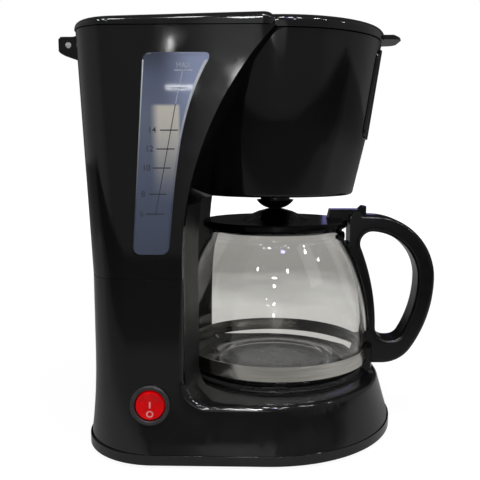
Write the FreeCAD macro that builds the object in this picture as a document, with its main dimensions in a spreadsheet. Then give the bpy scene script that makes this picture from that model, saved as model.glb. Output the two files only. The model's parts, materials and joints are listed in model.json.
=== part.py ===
import FreeCAD, Part
import Sketcher
import math
import os
import re

# Drip coffee maker, millimetres, +Z up, +X to the front where the carafe handle points.
# Shapes are drawn about the brew axis, the line through the carafe, hotplate and brew head,
# and every sub-part's Placement moves it by brew_axis_x, so the origin is under the box's middle.

Vec = FreeCAD.Vector
doc = FreeCAD.newDocument("DripCoffeeMaker")

# Driving sizes. Heights are above the table, reaches are from the brew axis.
SIZES = {
    "brew_axis_x": 14.1,
    "wall": 2.5,
    "fit_gap": 0.3,
    "pin_gap": 0.05,
    # base
    "foot_height": 2,
    "foot_radius": 7,
    "foot_front_x": 22,
    "foot_rear_x": 90,
    "foot_inset": 27,
    "base_half_width": 83,
    "base_front": 77.2,
    "rear_flare": 7.3,
    "base_corner": 45,
    "base_floor": 2.5,
    "lip_height": 6,
    "lip_width": 3,
    "lip_step": 0.8,
    # tower
    "side_flare": 7,
    "tower_rear": 109.2,
    "tower_corner": 24,
    "flare_top": 62,
    "deck_height": 36,
    "deck_front": 68.4,
    "deck_edge": 4,
    "seam_height": 109,
    "seam_groove": 0.4,
    "rim_height": 248,
    "rim_lean": 6.6,
    # carafe bay and the sweeping front edge of the tower's side
    "bay_shell": 9,
    "panel_front": 54,
    "sweep_rise": 9,
    "sweep_radius": 190,
    "lean_run": 6.4,
    "lean_depth": 27.5,
    "deck_blend": 15,
    # brew head
    "valve_room": 4,
    "head_radius": 50.3,
    "head_edge": 2.5,
    "step_rise": 35.1,
    "step_radius": 58.2,
    "head_rim_radius": 66.8,
    "shield_proud": 1.2,
    "shield_half_width": 24,
    "shield_drop": 5,
    "shield_corner": 6,
    # main lid and its hinge
    "lid_gap": 0.4,
    "lid_height": 7.1,
    "lid_fall": 2.6,
    "lid_edge": 4.2,
    "lid_over": 0.6,
    "lid_corner": 7,
    "lid_front_over": 1.6,
    "lid_wall": 2.2,
    "tab_length": 10.1,
    "tab_half_width": 14,
    "tab_thickness": 2.8,
    "tab_rise": 1.8,
    "tab_slope": 1.3,
    "hinge_offset": 11.4,
    "hinge_drop": 3,
    "hinge_pin_radius": 1.8,
    "knuckle_radius": 5,
    "knuckle_half_width": 19.5,
    "lug_width": 10,
    "lug_reach": 6,
    "lug_rise": 1.9,
    "lug_depth": 14.2,
    "lug_gap": 0.4,
    # water gauge
    "gauge_lift": 14,
    "gauge_drop": 14.5,
    "gauge_rear": 81.5,
    "gauge_rear_top": 74,
    "gauge_front": 62.5,
    "gauge_front_top": 38.5,
    "gauge_sweep": 233,
    "gauge_corner": 3,
    "gauge_proud": 0.6,
    "gauge_bevel": 0.5,
    # water tank and its pipes
    "tank_lift": 18,
    "tank_drop": 12,
    "tank_wall": 2,
    "tank_front": 36,
    "pipe_x": 68,
    "pipe_radius": 4,
    "pipe_bore": 2.8,
    "pipe_gap": 0.15,
    "riser_drop": 9,
    "riser_room": 4,
    "grommet_radius": 7,
    "hose_wall": 2,
    "hose_bend": 14,
    "hose_overlap": 8,
    "clamp_width": 5,
    "clamp_thickness": 1,
    "valve_body_radius": 6.3,
    "valve_flange_radius": 9,
    "valve_barb": 11,
    "ball_radius": 3.6,
    "ball_lift": 3,
    # spout
    "spout_drop": 5,
    "spout_radius": 4.2,
    "shower_radius": 14,
    "shower_thickness": 2.4,
    # filter basket, mesh filter and drip valve
    "basket_inset": 6.8,
    "basket_drop": 12,
    "basket_lift": 18.6,
    "basket_floor_radius": 43,
    "basket_wall": 1.8,
    "basket_flange": 2,
    "basket_foot_radius": 18,
    "nozzle_radius": 8,
    "nozzle_length": 4,
    "mesh_lift": 16,
    "mesh_floor_radius": 30,
    "mesh_wall": 1.2,
    "mesh_flange": 2.4,
    "dome_radius": 12.2,
    "dome_height": 5.6,
    "dome_tip_radius": 4,
    "neck_radius": 9.6,
    "neck_rise": 4.6,
    "stem_radius": 2.6,
    "seal_radius": 7,
    "seal_lift": 2,
    "seal_thickness": 3,
    "spring_radius": 5,
    "spring_wire": 0.5,
    "spring_turns": 4,
    # hotplate and heater
    "plate_margin": 5,
    "plate_rise": 1.7,
    "plate_thickness": 1.8,
    "plate_skirt": 5,
    "gasket_width": 2.4,
    "heater_inset": 12,
    "element_radius": 4,
    "element_leg": 25,
    "boiler_leg": 52,
    "strap_x": 14,
    "strap_width": 12,
    "strap_thickness": 1.5,
    "stud_radius": 2,
    "thermostat_x": 14,
    "thermostat_radius": 9,
    "thermostat_height": 9,
    "fuse_x": 25,
    "fuse_radius": 2.5,
    "fuse_length": 22,
    # switch
    "switch_x": 73,
    "switch_height": 36,
    "bezel_radius": 11.5,
    "bezel_height": 2.2,
    "switch_body_radius": 9.8,
    "switch_depth": 18,
    "rocker_radius": 8.5,
    "rocker_pivot": 1,
    "rocker_crown": 2.6,
    "rocker_facet": 8,
    "rocker_crease": 2,
    "terminal_length": 6,
    # fasteners and cord inlet
    "screw_radius": 1.5,
    "screw_head_radius": 3,
    "screw_head_height": 1.6,
    "boss_radius": 4.5,
    "boss_front_x": 38,
    "boss_inset": 33,
    "boss_height": 20,
    "tie_x": 88,
    "tie_boss": 14,
    "gland_side": 34,
    "gland_height": 20,
    "gland_radius": 6,
    "gland_bore": 3.2,
    "block_length": 34,
    "block_depth": 16,
    "block_height": 14,
    # carafe
    "bay_gap": 4.4,
    "glass_wall": 2.2,
    "glass_foot_inset": 9.6,
    "glass_band_inset": 1.6,
    "glass_belly_rise": 28,
    "glass_neck_inset": 18.4,
    "glass_neck_length": 6,
    "glass_rim_flare": 1.2,
    "glass_rim_height": 131.5,
    "band_lift": 8.5,
    "band_width": 9.5,
    "band_thickness": 0.8,
    "band_tab_length": 11,
    "clip_height": 2.6,
    "clip_turn": 32,
    "clasp_radius": 3.2,
    "clasp_bore": 1.7,
    "clasp_turn": 25,
    "handle_out": 42.4,
    "handle_rise": 8.3,
    "handle_lift": 4.4,
    "handle_half_width": 10,
    "handle_round": 3,
    "grip_thickness": 11,
    "grip_lower_radius": 84,
    "grip_lower_turn": 34,
    "strut_thickness": 4,
    "strut_radius": 145,
    "strut_drop": 10.5,
    "opening_corner": 8,
    "saddle_thickness": 4.5,
    "saddle_half_width": 20,
    # carafe lid
    "jug_lid_over": 2.6,
    "jug_lid_thickness": 4.6,
    "jug_plug_gap": 0.7,
    "jug_plug_depth": 2,
    "hub_radius": 23.4,
    "hub_top_radius": 5,
    "hub_rise": 12,
    "lever_length": 25.6,
    "lever_overlap": 14,
    "lever_half_width": 6,
    "lever_rise": 11.7,
    "lever_kick": 2.2,
    "lever_lift": 3.9,
    "jug_pin_out": 5,
    "jug_pin_rise": 7.7,
    "jug_pin_radius": 1.2,
    "jug_lug_radius": 3.2,
}

# Sizes that follow from the driving ones, so that pieces which fit together change together.
DERIVED = {
    "tower_half_width": "base_half_width - side_flare",
    "base_rear": "tower_rear + rear_flare",
    "rim_rear": "tower_rear + rim_lean",
    "foot_side": "base_half_width - foot_inset",
    "boss_front_side": "base_half_width - boss_inset",
    "sweep_start": "seam_height + sweep_rise",
    "bay_radius": "tower_half_width - bay_shell",
    "hinge_reach": "rim_rear + hinge_offset",
    "hinge_height": "rim_height - hinge_drop",
    "lug_top": "rim_height + lug_rise",
    "lug_bottom": "rim_height - lug_depth",
    "gauge_bottom": "seam_height + gauge_lift",
    "gauge_top": "rim_height - gauge_drop",
    "tank_bottom": "seam_height + tank_lift",
    "tank_top": "rim_height - tank_drop",
    "riser_bottom": "seam_height - riser_drop",
    "riser_top": "rim_height - riser_room",
    "spout_height": "rim_height - spout_drop",
    "lid_front_radius": "head_rim_radius + lid_front_over",
    "tab_reach": "lid_front_radius + tab_length",
    "glass_belly_radius": "bay_radius - bay_gap",
    "glass_belly_height": "deck_height + glass_belly_rise",
    "glass_foot_radius": "glass_belly_radius - glass_foot_inset",
    "glass_band_radius": "glass_belly_radius - glass_band_inset",
    "glass_neck_radius": "glass_belly_radius - glass_neck_inset",
    "glass_neck_height": "glass_rim_height - glass_neck_length",
    "glass_rim_radius": "glass_neck_radius + glass_rim_flare",
    "band_bottom": "deck_height + band_lift",
    "band_top": "band_bottom + band_width",
    "band_tab_reach": "glass_band_radius + band_tab_length",
    "plate_radius": "glass_foot_radius + plate_margin",
    "heater_radius": "plate_radius - heater_inset",
    "pipe_side": "heater_radius",
    "handle_reach": "glass_belly_radius + handle_out",
    "handle_top": "glass_rim_height + handle_rise",
    "handle_foot": "deck_height + handle_lift",
    "handle_root": "glass_belly_radius + pin_gap * 4",
    "strut_top": "glass_rim_height - strut_drop",
    "opening_bottom": "band_top + wall",
    "jug_lid_radius": "glass_rim_radius + jug_lid_over",
    "jug_plug_radius": "glass_neck_radius - glass_wall - jug_plug_gap",
    "hub_height": "glass_rim_height + hub_rise",
    "lever_start": "jug_lid_radius - lever_overlap",
    "lever_reach": "lever_start + lever_length",
    "lever_top": "glass_rim_height + lever_rise",
    "lever_tip": "lever_top + lever_kick",
    "lever_bottom": "glass_rim_height + lever_lift",
    "jug_pin_x": "jug_lid_radius + jug_pin_out",
    "jug_pin_height": "glass_rim_height + jug_pin_rise",
    "valve_bottom": "hub_height + fit_gap",
    "head_bottom": "valve_bottom + dome_height + valve_room",
    "step_height": "head_bottom + step_rise",
    "neck_top": "head_bottom + neck_rise",
    "basket_rim_radius": "head_rim_radius - basket_inset",
    "basket_rim_height": "rim_height - basket_drop",
    "basket_floor_height": "head_bottom + basket_lift",
    "nozzle_bottom": "basket_floor_height - nozzle_length",
    "mesh_floor_height": "basket_floor_height + mesh_lift",
}

sheet = doc.addObject("Spreadsheet::Sheet", "Sizes")
cells = {name: str(value) for name, value in SIZES.items()}
cells.update((name, "=" + formula) for name, formula in DERIVED.items())
for row, (name, content) in enumerate(cells.items(), start=1):
    cell = "A%d" % row
    sheet.set(cell, content)
    sheet.setAlias(cell, name)
doc.recompute()


def bound(formula):
    """A formula of size names, as an expression on the sheet's cells."""
    return re.sub(r"\b([a-z]\w*)\b(?!\()", r"Sizes.\1", formula)


def size(formula):
    """The value of a formula of size names."""
    return float(sheet.evalExpression(bound(formula)))


subparts = []


def sub_part(obj, label):
    """Name an object as a sub-part and stand it on the brew axis."""
    obj.Label = label
    if not any(path.endswith("Base.x") for path, _ in obj.ExpressionEngine):
        obj.setExpression("Placement.Base.x", bound("brew_axis_x"))
    subparts.append(obj)
    return obj


def shaped(label, shape):
    """A sub-part whose shape is worked out from the sheet."""
    obj = doc.addObject("Part::Feature", label)
    obj.Shape = shape
    return sub_part(obj, label)


def arc_centre(start, end, radius):
    """Centre of the shorter arc, to the left of the way from start to end if radius is positive."""
    half = (end - start) * 0.5
    side = Vec(-half.y, half.x, 0).normalize()
    rise = math.sqrt(radius * radius - half.Length * half.Length)
    return start + half + side * math.copysign(rise, radius)


def outline_sketch(body, role, corners):
    """A closed sketch. Each corner is (x, y), or (x, y, radius) where an arc leads to the next one."""
    sketch = body.newObject("Sketcher::SketchObject", body.Name + "Outline")
    plane = next(f for f in body.Origin.OriginFeatures if f.Role == role)
    sketch.AttachmentSupport = [(plane, "")]
    sketch.MapMode = "FlatFace"
    places = [Vec(size(c[0]), size(c[1]), 0) for c in corners]
    ends = []
    for i, corner in enumerate(corners):
        start, end = places[i], places[(i + 1) % len(places)]
        if len(corner) == 2:
            geo = sketch.addGeometry(Part.LineSegment(start, end), False)
            ends.append((geo, 1, 2))
            continue
        radius = size(corner[2])
        centre = arc_centre(start, end, radius)
        first, last = (start, end) if radius > 0 else (end, start)
        angles = [math.atan2(p.y - centre.y, p.x - centre.x) for p in (first, last)]
        circle = Part.Circle(centre, Vec(0, 0, 1), abs(radius))
        geo = sketch.addGeometry(Part.ArcOfCircle(circle, *angles), False)
        ends.append((geo, 1, 2) if radius > 0 else (geo, 2, 1))
    for i, (geo, _, last) in enumerate(ends):
        following = ends[(i + 1) % len(ends)]
        sketch.addConstraint(Sketcher.Constraint("Coincident", geo, last, following[0], following[1]))
    for (geo, first, _), corner, place in zip(ends, corners, places):
        for axis, formula, value in (("X", corner[0], place.x), ("Y", corner[1], place.y)):
            rule = Sketcher.Constraint("Distance" + axis, -1, 1, geo, first, value)
            sketch.setExpression("Constraints[%d]" % sketch.addConstraint(rule), bound(formula))
        if len(corner) == 3:
            rule = Sketcher.Constraint("Radius", geo, abs(size(corner[2])))
            sketch.setExpression("Constraints[%d]" % sketch.addConstraint(rule), bound("abs(%s)" % corner[2]))
    return sketch


def turned(label, corners):
    """A body turned about the brew axis, its outline given as radius and height."""
    body = doc.addObject("PartDesign::Body", label)
    sketch = outline_sketch(body, "XZ_Plane", corners)
    turn = body.newObject("PartDesign::Revolution", label + "Turn")
    turn.Profile = sketch
    turn.ReferenceAxis = (sketch, ["V_Axis"])
    turn.Angle = 360
    return sub_part(body, label)


def primitive(kind, name, place=("0", "0", "0"), **sizes):
    """A Part primitive with its sizes and its place bound to the sheet."""
    obj = doc.addObject("Part::" + kind, name)
    for prop, formula in sizes.items():
        obj.setExpression(prop, bound(formula))
    for axis, formula in zip("xyz", place):
        obj.setExpression("Placement.Base." + axis, bound(formula))
    return obj


def combined(kind, name, pieces):
    """A boolean of primitives: Cut takes two pieces, MultiFuse a list."""
    obj = doc.addObject("Part::" + kind, name)
    if kind == "MultiFuse":
        obj.Shapes = pieces
    else:
        obj.Base, obj.Tool = pieces
    return obj


def group(label, shapes):
    """Identical pieces that share one node, each its own solid."""
    return shaped(label, Part.makeCompound(shapes))


def cylinder(radius, low, high, x=0.0, y=0.0):
    return Part.makeCylinder(radius, high - low, Vec(x, y, low))


def ring(outer, inner, low, high, x=0.0, y=0.0):
    return cylinder(outer, low, high, x, y).cut(cylinder(inner, low, high, x, y))


def block(x0, x1, y0, y1, z0, z1):
    return Part.makeBox(x1 - x0, y1 - y0, z1 - z0, Vec(x0, y0, z0))


def side_face(edges, y):
    """A face in the plane y from edges drawn in X and Z."""
    face = Part.Face(Part.Wire(edges))
    face.translate(Vec(0, y, 0))
    return face


def point(x, z):
    return Vec(x, 0, z)


def line(start, end):
    return Part.LineSegment(start, end).toShape()


def arc(start, middle, end):
    return Part.Arc(start, middle, end).toShape()


def on_circle(centre, radius, degrees):
    angle = math.radians(degrees)
    return centre + Vec(math.cos(angle), 0, math.sin(angle)) * radius


def mirrored(shape):
    """The shape and its twin on the other side of the middle plane."""
    return shape.fuse(shape.mirror(Vec(0, 0, 0), Vec(0, 1, 0)))


# Heights and radii that several sub-parts share.
LIP_TOP = size("foot_height + lip_height")
DECK = size("deck_height")
SEAM = size("seam_height")
RIM = size("rim_height")
WALL = size("wall")
GAP = size("fit_gap")
PIN_GAP = size("pin_gap")
HALF_WIDTH = size("tower_half_width")
PLATE_TOP = "deck_height + plate_rise"
PLATE_UNDER = "deck_height + plate_rise - plate_thickness"
ELEMENT_Z = PLATE_UNDER + " - fit_gap - element_radius"
BOILER_Z = ELEMENT_Z + " - element_radius - fit_gap - pipe_radius"
FOOT = "deck_height + plate_rise + fit_gap"
LID_Z = "rim_height + lid_gap"
JUG_LID_Z = "glass_rim_height + fit_gap"
BALL_SEAT = "sqrt(ball_radius ^ 2 - pipe_bore ^ 2) + pin_gap"


def plan_wire(height, half_width, front, rear, corner):
    """Plan of the machine at one height: square rear with round corners, half-circle front."""
    centre = front - half_width
    z = height
    turn = math.sqrt(0.5)
    rear_corner = Vec(-rear + corner, -half_width + corner, z)
    rear_mid = rear_corner + Vec(-turn, -turn, 0) * corner
    front_mid = Vec(centre + half_width * turn, -half_width * turn, z)
    side = [
        line(Vec(-rear, 0, z), Vec(-rear, -half_width + corner, z)),
        arc(Vec(-rear, -half_width + corner, z), rear_mid, Vec(-rear + corner, -half_width, z)),
        line(Vec(-rear + corner, -half_width, z), Vec(centre, -half_width, z)),
        arc(Vec(centre, -half_width, z), front_mid, Vec(front, 0, z)),
    ]
    other = [edge.mirror(Vec(0, 0, 0), Vec(0, 1, 0)) for edge in side]
    return Part.Wire(Part.__sortEdges__(side + other))


def tower_wire(height, inset):
    """Plan of the housings at one height: flared to the lip below, leaning back above the seam."""
    flare = max(0.0, (size("flare_top") - height) / (size("flare_top") - LIP_TOP)) ** 2
    lean = max(0.0, (height - SEAM) / (RIM - SEAM))
    step = size("lip_step")
    half_width = HALF_WIDTH + (size("base_half_width") - step - HALF_WIDTH) * flare
    rear = size("tower_rear") + (size("base_rear") - step - size("tower_rear")) * flare
    rear += (size("rim_rear") - size("tower_rear")) * lean
    corner = size("tower_corner") + (size("base_corner") - size("tower_corner")) * flare
    slope = (size("base_front") - step - size("deck_front")) / (DECK - LIP_TOP)
    front = size("base_front") - step - slope * (min(height, size("flare_top")) - LIP_TOP)
    return plan_wire(height, half_width - inset, front - inset, rear - inset, corner - inset)


def lower_form(inset):
    """The flared base and the straight tower above it, up to the seam."""
    steps = 4
    levels = [LIP_TOP + (size("flare_top") - LIP_TOP) * i / steps for i in range(steps + 1)]
    flared = Part.makeLoft([tower_wire(z, inset) for z in levels], True)
    straight = Part.makeLoft([tower_wire(size("flare_top"), inset), tower_wire(SEAM, inset)], True, True)
    return flared.fuse(straight)


def upper_form(inset):
    """The tower from the seam to the rim."""
    return Part.makeLoft([tower_wire(SEAM, inset), tower_wire(RIM, inset)], True, True)


def bay_cutter(grow):
    """What the carafe bay and the sweep of the tower's front edge take away, grown by a wall."""
    lean = size("lean_run / lean_depth")
    outside = size("base_half_width")
    start = -size("panel_front") - lean * (outside - HALF_WIDTH)
    blend = size("deck_blend")
    radius = size("sweep_radius")
    top = RIM + outside
    far = 2 * outside
    blend_centre = point(start + blend, DECK + blend)
    sweep_centre = point(start + radius, size("sweep_start"))
    sweep_angle = math.degrees(math.asin((RIM + WALL - sweep_centre.z) / (radius + grow)))
    sweep_end = on_circle(sweep_centre, radius + grow, 180 - sweep_angle)
    foot = on_circle(blend_centre, blend + grow, 270)
    knee = on_circle(blend_centre, blend + grow, 180)
    edges = [
        line(point(far, DECK - grow), foot),
        arc(foot, on_circle(blend_centre, blend + grow, 225), knee),
        line(knee, on_circle(sweep_centre, radius + grow, 180)),
        arc(on_circle(sweep_centre, radius + grow, 180),
            on_circle(sweep_centre, radius + grow, 180 - sweep_angle / 2), sweep_end),
        line(sweep_end, point(sweep_end.x, top)),
        line(point(sweep_end.x, top), point(far, top)),
        line(point(far, top), point(far, DECK - grow)),
    ]
    half = side_face(edges, -outside).extrude(Vec(lean * outside, outside, 0))
    return mirrored(half)


def bay_well(grow, top):
    """The round well behind the carafe."""
    return cylinder(size("bay_radius") + grow, DECK - grow, top)


def seam_groove(way):
    """A fine groove round the outside of the seam, cut up or down from it."""
    depth = size("seam_groove")
    outer = Part.Face(tower_wire(SEAM, -WALL)).extrude(Vec(0, 0, way * depth))
    return outer.cut(Part.Face(tower_wire(SEAM, depth)).extrude(Vec(0, 0, way * depth)))


def edges_near(shape, test):
    """Edges of a shape whose middle passes a test."""
    return [e for e in shape.Edges if test(e.valueAt((e.FirstParameter + e.LastParameter) / 2))]


def base_plate():
    outer = [size("base_half_width"), size("base_front"), size("base_rear"), size("base_corner")]
    inner = [v - size("lip_width") for v in outer]
    low = size("foot_height")
    lip = size("lip_height")
    floor = size("base_floor")
    tray = Part.Face(plan_wire(low, *outer)).extrude(Vec(0, 0, lip))
    tray = tray.cut(Part.Face(plan_wire(low + floor, *inner)).extrude(Vec(0, 0, lip)))
    for x, y in screw_places():
        tray = tray.cut(cylinder(size("screw_head_radius") + GAP, low, low + size("screw_head_height"), x, y))
        tray = tray.cut(cylinder(size("screw_radius") + GAP, low, low + lip, x, y))
    vent = size("heater_radius / 12")
    for i in range(-3, 4):
        slot = block(-vent * 5, vent * 5, vent * (2 * i - 0.5), vent * (2 * i + 0.5), low, low + lip)
        tray = tray.cut(slot)
    return shaped("base_plate", tray)


def screw_places():
    """Where the base plate is screwed on: two bosses in front, two in the rear corners."""
    corner = size("base_corner")
    reach = (corner - size("lip_step") - WALL - size("boss_radius")) * math.sqrt(0.5)
    rear_x = -size("base_rear") + corner - reach
    rear_y = size("base_half_width") - corner + reach
    front = (size("boss_front_x"), size("boss_front_side"))
    return [(x, y * s) for x, y in (front, (rear_x, rear_y)) for s in (-1, 1)]


def tie_places():
    """Where the two housings are screwed together, along the sides of the tower."""
    side = HALF_WIDTH - WALL - size("boss_radius") + GAP
    return [(-size("tie_x"), side * s) for s in (-1, 1)]


def switch_frame():
    """Placement of the switch: its Z axis points out of the flared wall."""
    span = size("flare_top") - LIP_TOP
    reach = size("base_half_width") - size("lip_step") - HALF_WIDTH
    rise = size("flare_top - switch_height")
    side = HALF_WIDTH + reach * (rise / span) ** 2
    tilt = math.degrees(math.atan(2 * reach * rise / span ** 2))
    turn = FreeCAD.Rotation(Vec(1, 0, 0), 90 - tilt)
    return FreeCAD.Placement(Vec(-size("switch_x"), -side, size("switch_height")), turn)


def lower_housing():
    body = lower_form(0).cut(bay_cutter(0)).cut(bay_well(0, RIM))
    deck_wire = tower_wire(DECK, 0).BoundBox
    half_width = deck_wire.YLength / 2
    centre = deck_wire.XMax - half_width

    def on_deck_edge(p):
        outer = abs(p.y) if p.x < centre else math.hypot(p.x - centre, p.y)
        return abs(p.z - DECK) < 0.01 and outer > half_width - 0.2

    body = body.makeFillet(size("deck_edge"), edges_near(body, on_deck_edge))
    inner = lower_form(WALL).cut(bay_cutter(WALL)).cut(bay_well(WALL, RIM))
    body = body.cut(inner)
    low = size("foot_height + base_floor")
    for x, y in screw_places():
        top = DECK - WALL if x > 0 else low + size("boss_height")
        body = body.fuse(cylinder(size("boss_radius"), low, top, x, y))
        body = body.cut(cylinder(size("screw_radius + pin_gap"), low, low + size("boss_height") - WALL, x, y))
    for x, y in tie_places():
        body = body.fuse(cylinder(size("boss_radius"), SEAM - size("tie_boss"), SEAM, x, y))
        body = body.cut(cylinder(size("screw_radius + pin_gap"), SEAM - size("tie_boss"), SEAM, x, y))
    body = body.cut(cylinder(size("plate_radius + gasket_width") + GAP, DECK - 2 * WALL, RIM))
    body = body.cut(seam_groove(-1))
    depth = size("switch_depth")
    hole = Part.makeCylinder(size("switch_body_radius") + GAP, 2 * depth, Vec(0, 0, -depth))
    hole.Placement = switch_frame()
    body = body.cut(hole)
    gland = Part.makeCylinder(size("gland_radius") + GAP, 10 * WALL, gland_place(-6 * WALL), Vec(-1, 0, 0))
    return shaped("lower_housing", body.cut(gland))


def gland_place(out):
    """A point on the cord inlet's axis, out from the tower's rear wall."""
    return Vec(-size("tower_rear") - out, size("gland_side"), size("gland_height"))


def head_form(inset):
    """The brew head: a round bowl that widens towards the rim."""
    low = size("head_bottom") + inset
    radii = [size("head_radius"), size("step_radius"), size("head_rim_radius")]
    heights = [low, size("step_height"), RIM]
    profile = [Vec(0, 0, low)] + [Vec(r - inset, 0, z) for r, z in zip(radii, heights)] + [Vec(0, 0, RIM)]
    face = Part.Face(Part.makePolygon(profile + profile[:1]))
    return face.revolve(Vec(0, 0, 0), Vec(0, 0, 1), 360)


def head_shield():
    """The plain raised field on the front of the brew head."""
    half = size("shield_half_width")
    reach = size("head_rim_radius") + 2 * WALL
    field = block(0, reach, -half, half, size("step_height"), RIM - size("shield_drop"))
    upright = [e for e in field.Edges if abs(e.tangentAt(e.FirstParameter).x) > 0.99]
    field = field.makeFillet(size("shield_corner"), upright)
    return head_form(-size("shield_proud")).common(field)


def gauge_face(grow, y):
    """Outline of the water gauge in the side wall."""
    low = size("gauge_bottom") - grow
    high = size("gauge_top") + grow
    rear_low = point(-size("gauge_rear") - grow, low)
    rear_high = point(-size("gauge_rear_top") - grow, high)
    front_low = point(-size("gauge_front") + grow, low)
    front_high = point(-size("gauge_front_top") + grow, high)
    radius = size("gauge_sweep")
    flat_start, flat_end = Vec(front_low.x, low, 0), Vec(front_high.x, high, 0)
    centre = arc_centre(flat_start, flat_end, -radius)
    middle = (flat_start + flat_end) * 0.5
    bulge = centre + (middle - centre).normalize() * radius
    return side_face([
        line(rear_low, front_low),
        arc(front_low, point(bulge.x, bulge.y), front_high),
        line(front_high, rear_high),
        line(rear_high, rear_low),
    ], y)


def gauge_prism(grow, low, high):
    """The gauge outline through the wall, its corners rounded."""
    solid = gauge_face(grow, -high).extrude(Vec(0, high - low, 0))
    upright = [e for e in solid.Edges if abs(e.tangentAt(e.FirstParameter).y) > 0.99]
    return solid.makeFillet(size("gauge_corner") + grow, upright)


def hinge_lug():
    """One of the two ears behind the rim that hold the lid's hinge pin."""
    pivot = point(-size("hinge_reach"), size("hinge_height"))
    rear = pivot.x - size("lug_reach")
    wall_x = -size("rim_rear") + WALL / 2
    under_lid = RIM - size("lug_gap")
    top = size("lug_top")
    soften = size("lug_reach / 4")
    corners = [
        point(wall_x, size("lug_bottom")),
        point(rear + soften, size("lug_bottom") + size("lug_reach")),
        point(rear, size("lug_bottom") + size("lug_reach") + soften),
        point(rear, top - soften),
        point(rear + soften, top),
        point(pivot.x + size("lug_reach"), top),
        point(pivot.x + size("lug_reach") + 2 * soften, under_lid),
        point(wall_x, under_lid),
    ]
    width = size("lug_width")
    start = -size("knuckle_half_width + fit_gap") - width
    lug = side_face(Part.makePolygon(corners + corners[:1]).Edges, start).extrude(Vec(0, width, 0))
    near_end = pivot + Vec(0, start, 0)
    return lug.cut(Part.makeCylinder(size("hinge_pin_radius + pin_gap"), width, near_end, Vec(0, 1, 0)))


def upper_housing():
    head = head_form(0)
    low = size("head_bottom")
    head = head.makeFillet(size("head_edge"), edges_near(head, lambda p: abs(p.z - low) < 0.01))
    head = head.fuse(head_shield())
    tower = upper_form(0).cut(bay_cutter(0)).cut(bay_well(0, low))
    body = tower.fuse(head)
    inner = upper_form(WALL).cut(bay_cutter(WALL)).fuse(head_form(WALL)).cut(bay_well(WALL, low + WALL))
    body = body.cut(inner)
    body = body.cut(gauge_prism(size("pipe_gap"), HALF_WIDTH - 2 * WALL, HALF_WIDTH + WALL))
    body = body.cut(cylinder(size("neck_radius") + GAP, low - WALL, low + 2 * WALL))
    for x, y in tie_places():
        body = body.fuse(cylinder(size("boss_radius"), SEAM, SEAM + size("tie_boss"), x, y))
        body = body.cut(cylinder(size("screw_radius + pin_gap"), SEAM, SEAM + size("tie_boss") - WALL, x, y))
    body = body.cut(seam_groove(1))
    return shaped("upper_housing", body.fuse(mirrored(hinge_lug())))


def water_gauge():
    plate = gauge_prism(0, HALF_WIDTH - WALL, HALF_WIDTH + size("gauge_proud"))
    face_y = -HALF_WIDTH - size("gauge_proud")
    rim = edges_near(plate, lambda p: abs(p.y - face_y) < 0.01)
    return shaped("water_gauge", plate.makeChamfer(size("gauge_bevel"), rim))


def tank_form(inset):
    """Space behind the brew head and the bay, open to the rim."""
    well = size("bay_radius") + WALL + GAP + inset
    form = upper_form(WALL + GAP + inset).cut(bay_cutter(WALL + GAP + inset))
    form = form.cut(cylinder(well, 0, 2 * RIM))
    low = size("tank_bottom") + inset
    high = size("tank_top") + inset
    return form.common(block(-2 * RIM, -size("tank_front") - inset, -RIM, RIM, low, high))


def pipe_places():
    """Riser on the near side, tank outlet on the far side."""
    x, side = -size("pipe_x"), size("pipe_side")
    return (x, -side), (x, side)


def water_tank():
    riser, outlet = pipe_places()
    tank = tank_form(0).cut(tank_form(size("tank_wall")))
    low = size("tank_bottom") - WALL
    high = size("tank_bottom") + 2 * size("tank_wall")
    tank = tank.cut(cylinder(size("grommet_radius + pipe_gap"), low, high, *riser))
    return shaped("water_tank", tank.cut(cylinder(size("valve_body_radius + pipe_gap"), low, high, *outlet)))


def lid_form(inset):
    """The main lid: a square rear part that falls to the hinge and a round front part over the filter."""
    base = size(LID_Z) - (WALL if inset else 0)
    top = size(LID_Z + " + lid_height") - inset
    over = size("lid_over") - inset
    rear = -size("rim_rear") - over
    half = HALF_WIDTH + over
    edge = -size("panel_front") + size("sweep_radius")
    edge -= math.sqrt(size("sweep_radius") ** 2 - (RIM - size("sweep_start")) ** 2)
    corner = size("tower_corner") + over
    nose = edge - inset
    fall = size("lid_fall")
    corners = [point(rear, base), point(rear, top - fall), point(nose, top), point(nose, base)]
    back = side_face(Part.makePolygon(corners + corners[:1]).Edges, -half).extrude(Vec(0, 2 * half, 0))
    upright = [e for e in back.Edges if abs(e.tangentAt(e.FirstParameter).z) > 0.99]
    back = back.makeFillet(corner, [e for e in upright if e.CenterOfMass.x < rear + WALL])
    upright = [e for e in back.Edges if abs(e.tangentAt(e.FirstParameter).z) > 0.99]
    back = back.makeFillet(size("lid_corner"), [e for e in upright if e.CenterOfMass.x > nose - WALL])
    rim = edges_near(back, lambda p: abs(p.z - top + fall * (nose - p.x) / (nose - rear)) < 0.01)
    back = back.makeFillet(size("lid_edge"), rim)
    front = cylinder(size("lid_front_radius") - inset, base, top)
    rim = edges_near(front, lambda p: abs(p.z - top) < 0.01)
    return back.fuse(front.makeFillet(size("lid_edge"), rim))


def lid_tab():
    """The lifting tab at the front of the lid, sloping down to its tip."""
    half = size("tab_half_width")
    thick = size("tab_thickness")
    slope = size("tab_slope")
    low = size(LID_Z + " + tab_rise")
    root, reach = size("lid_front_radius - lid_wall"), size("tab_reach")
    corners = [
        point(root, low), point(root, low + thick), point(reach - 2 * thick, low + thick),
        point(reach - slope, low + thick - slope), point(reach, low),
    ]
    tab = side_face(Part.makePolygon(corners + corners[:1]).Edges, -half).extrude(Vec(0, 2 * half, 0))
    plan = block(0, reach, -half, half, low - WALL, low + thick + WALL)
    tip = [e for e in plan.Edges if abs(e.tangentAt(e.FirstParameter).z) > 0.99]
    tip = [e for e in tip if e.Vertexes[0].Point.x > root]
    return tab.common(plan.makeFillet(half / 2, tip))


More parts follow.
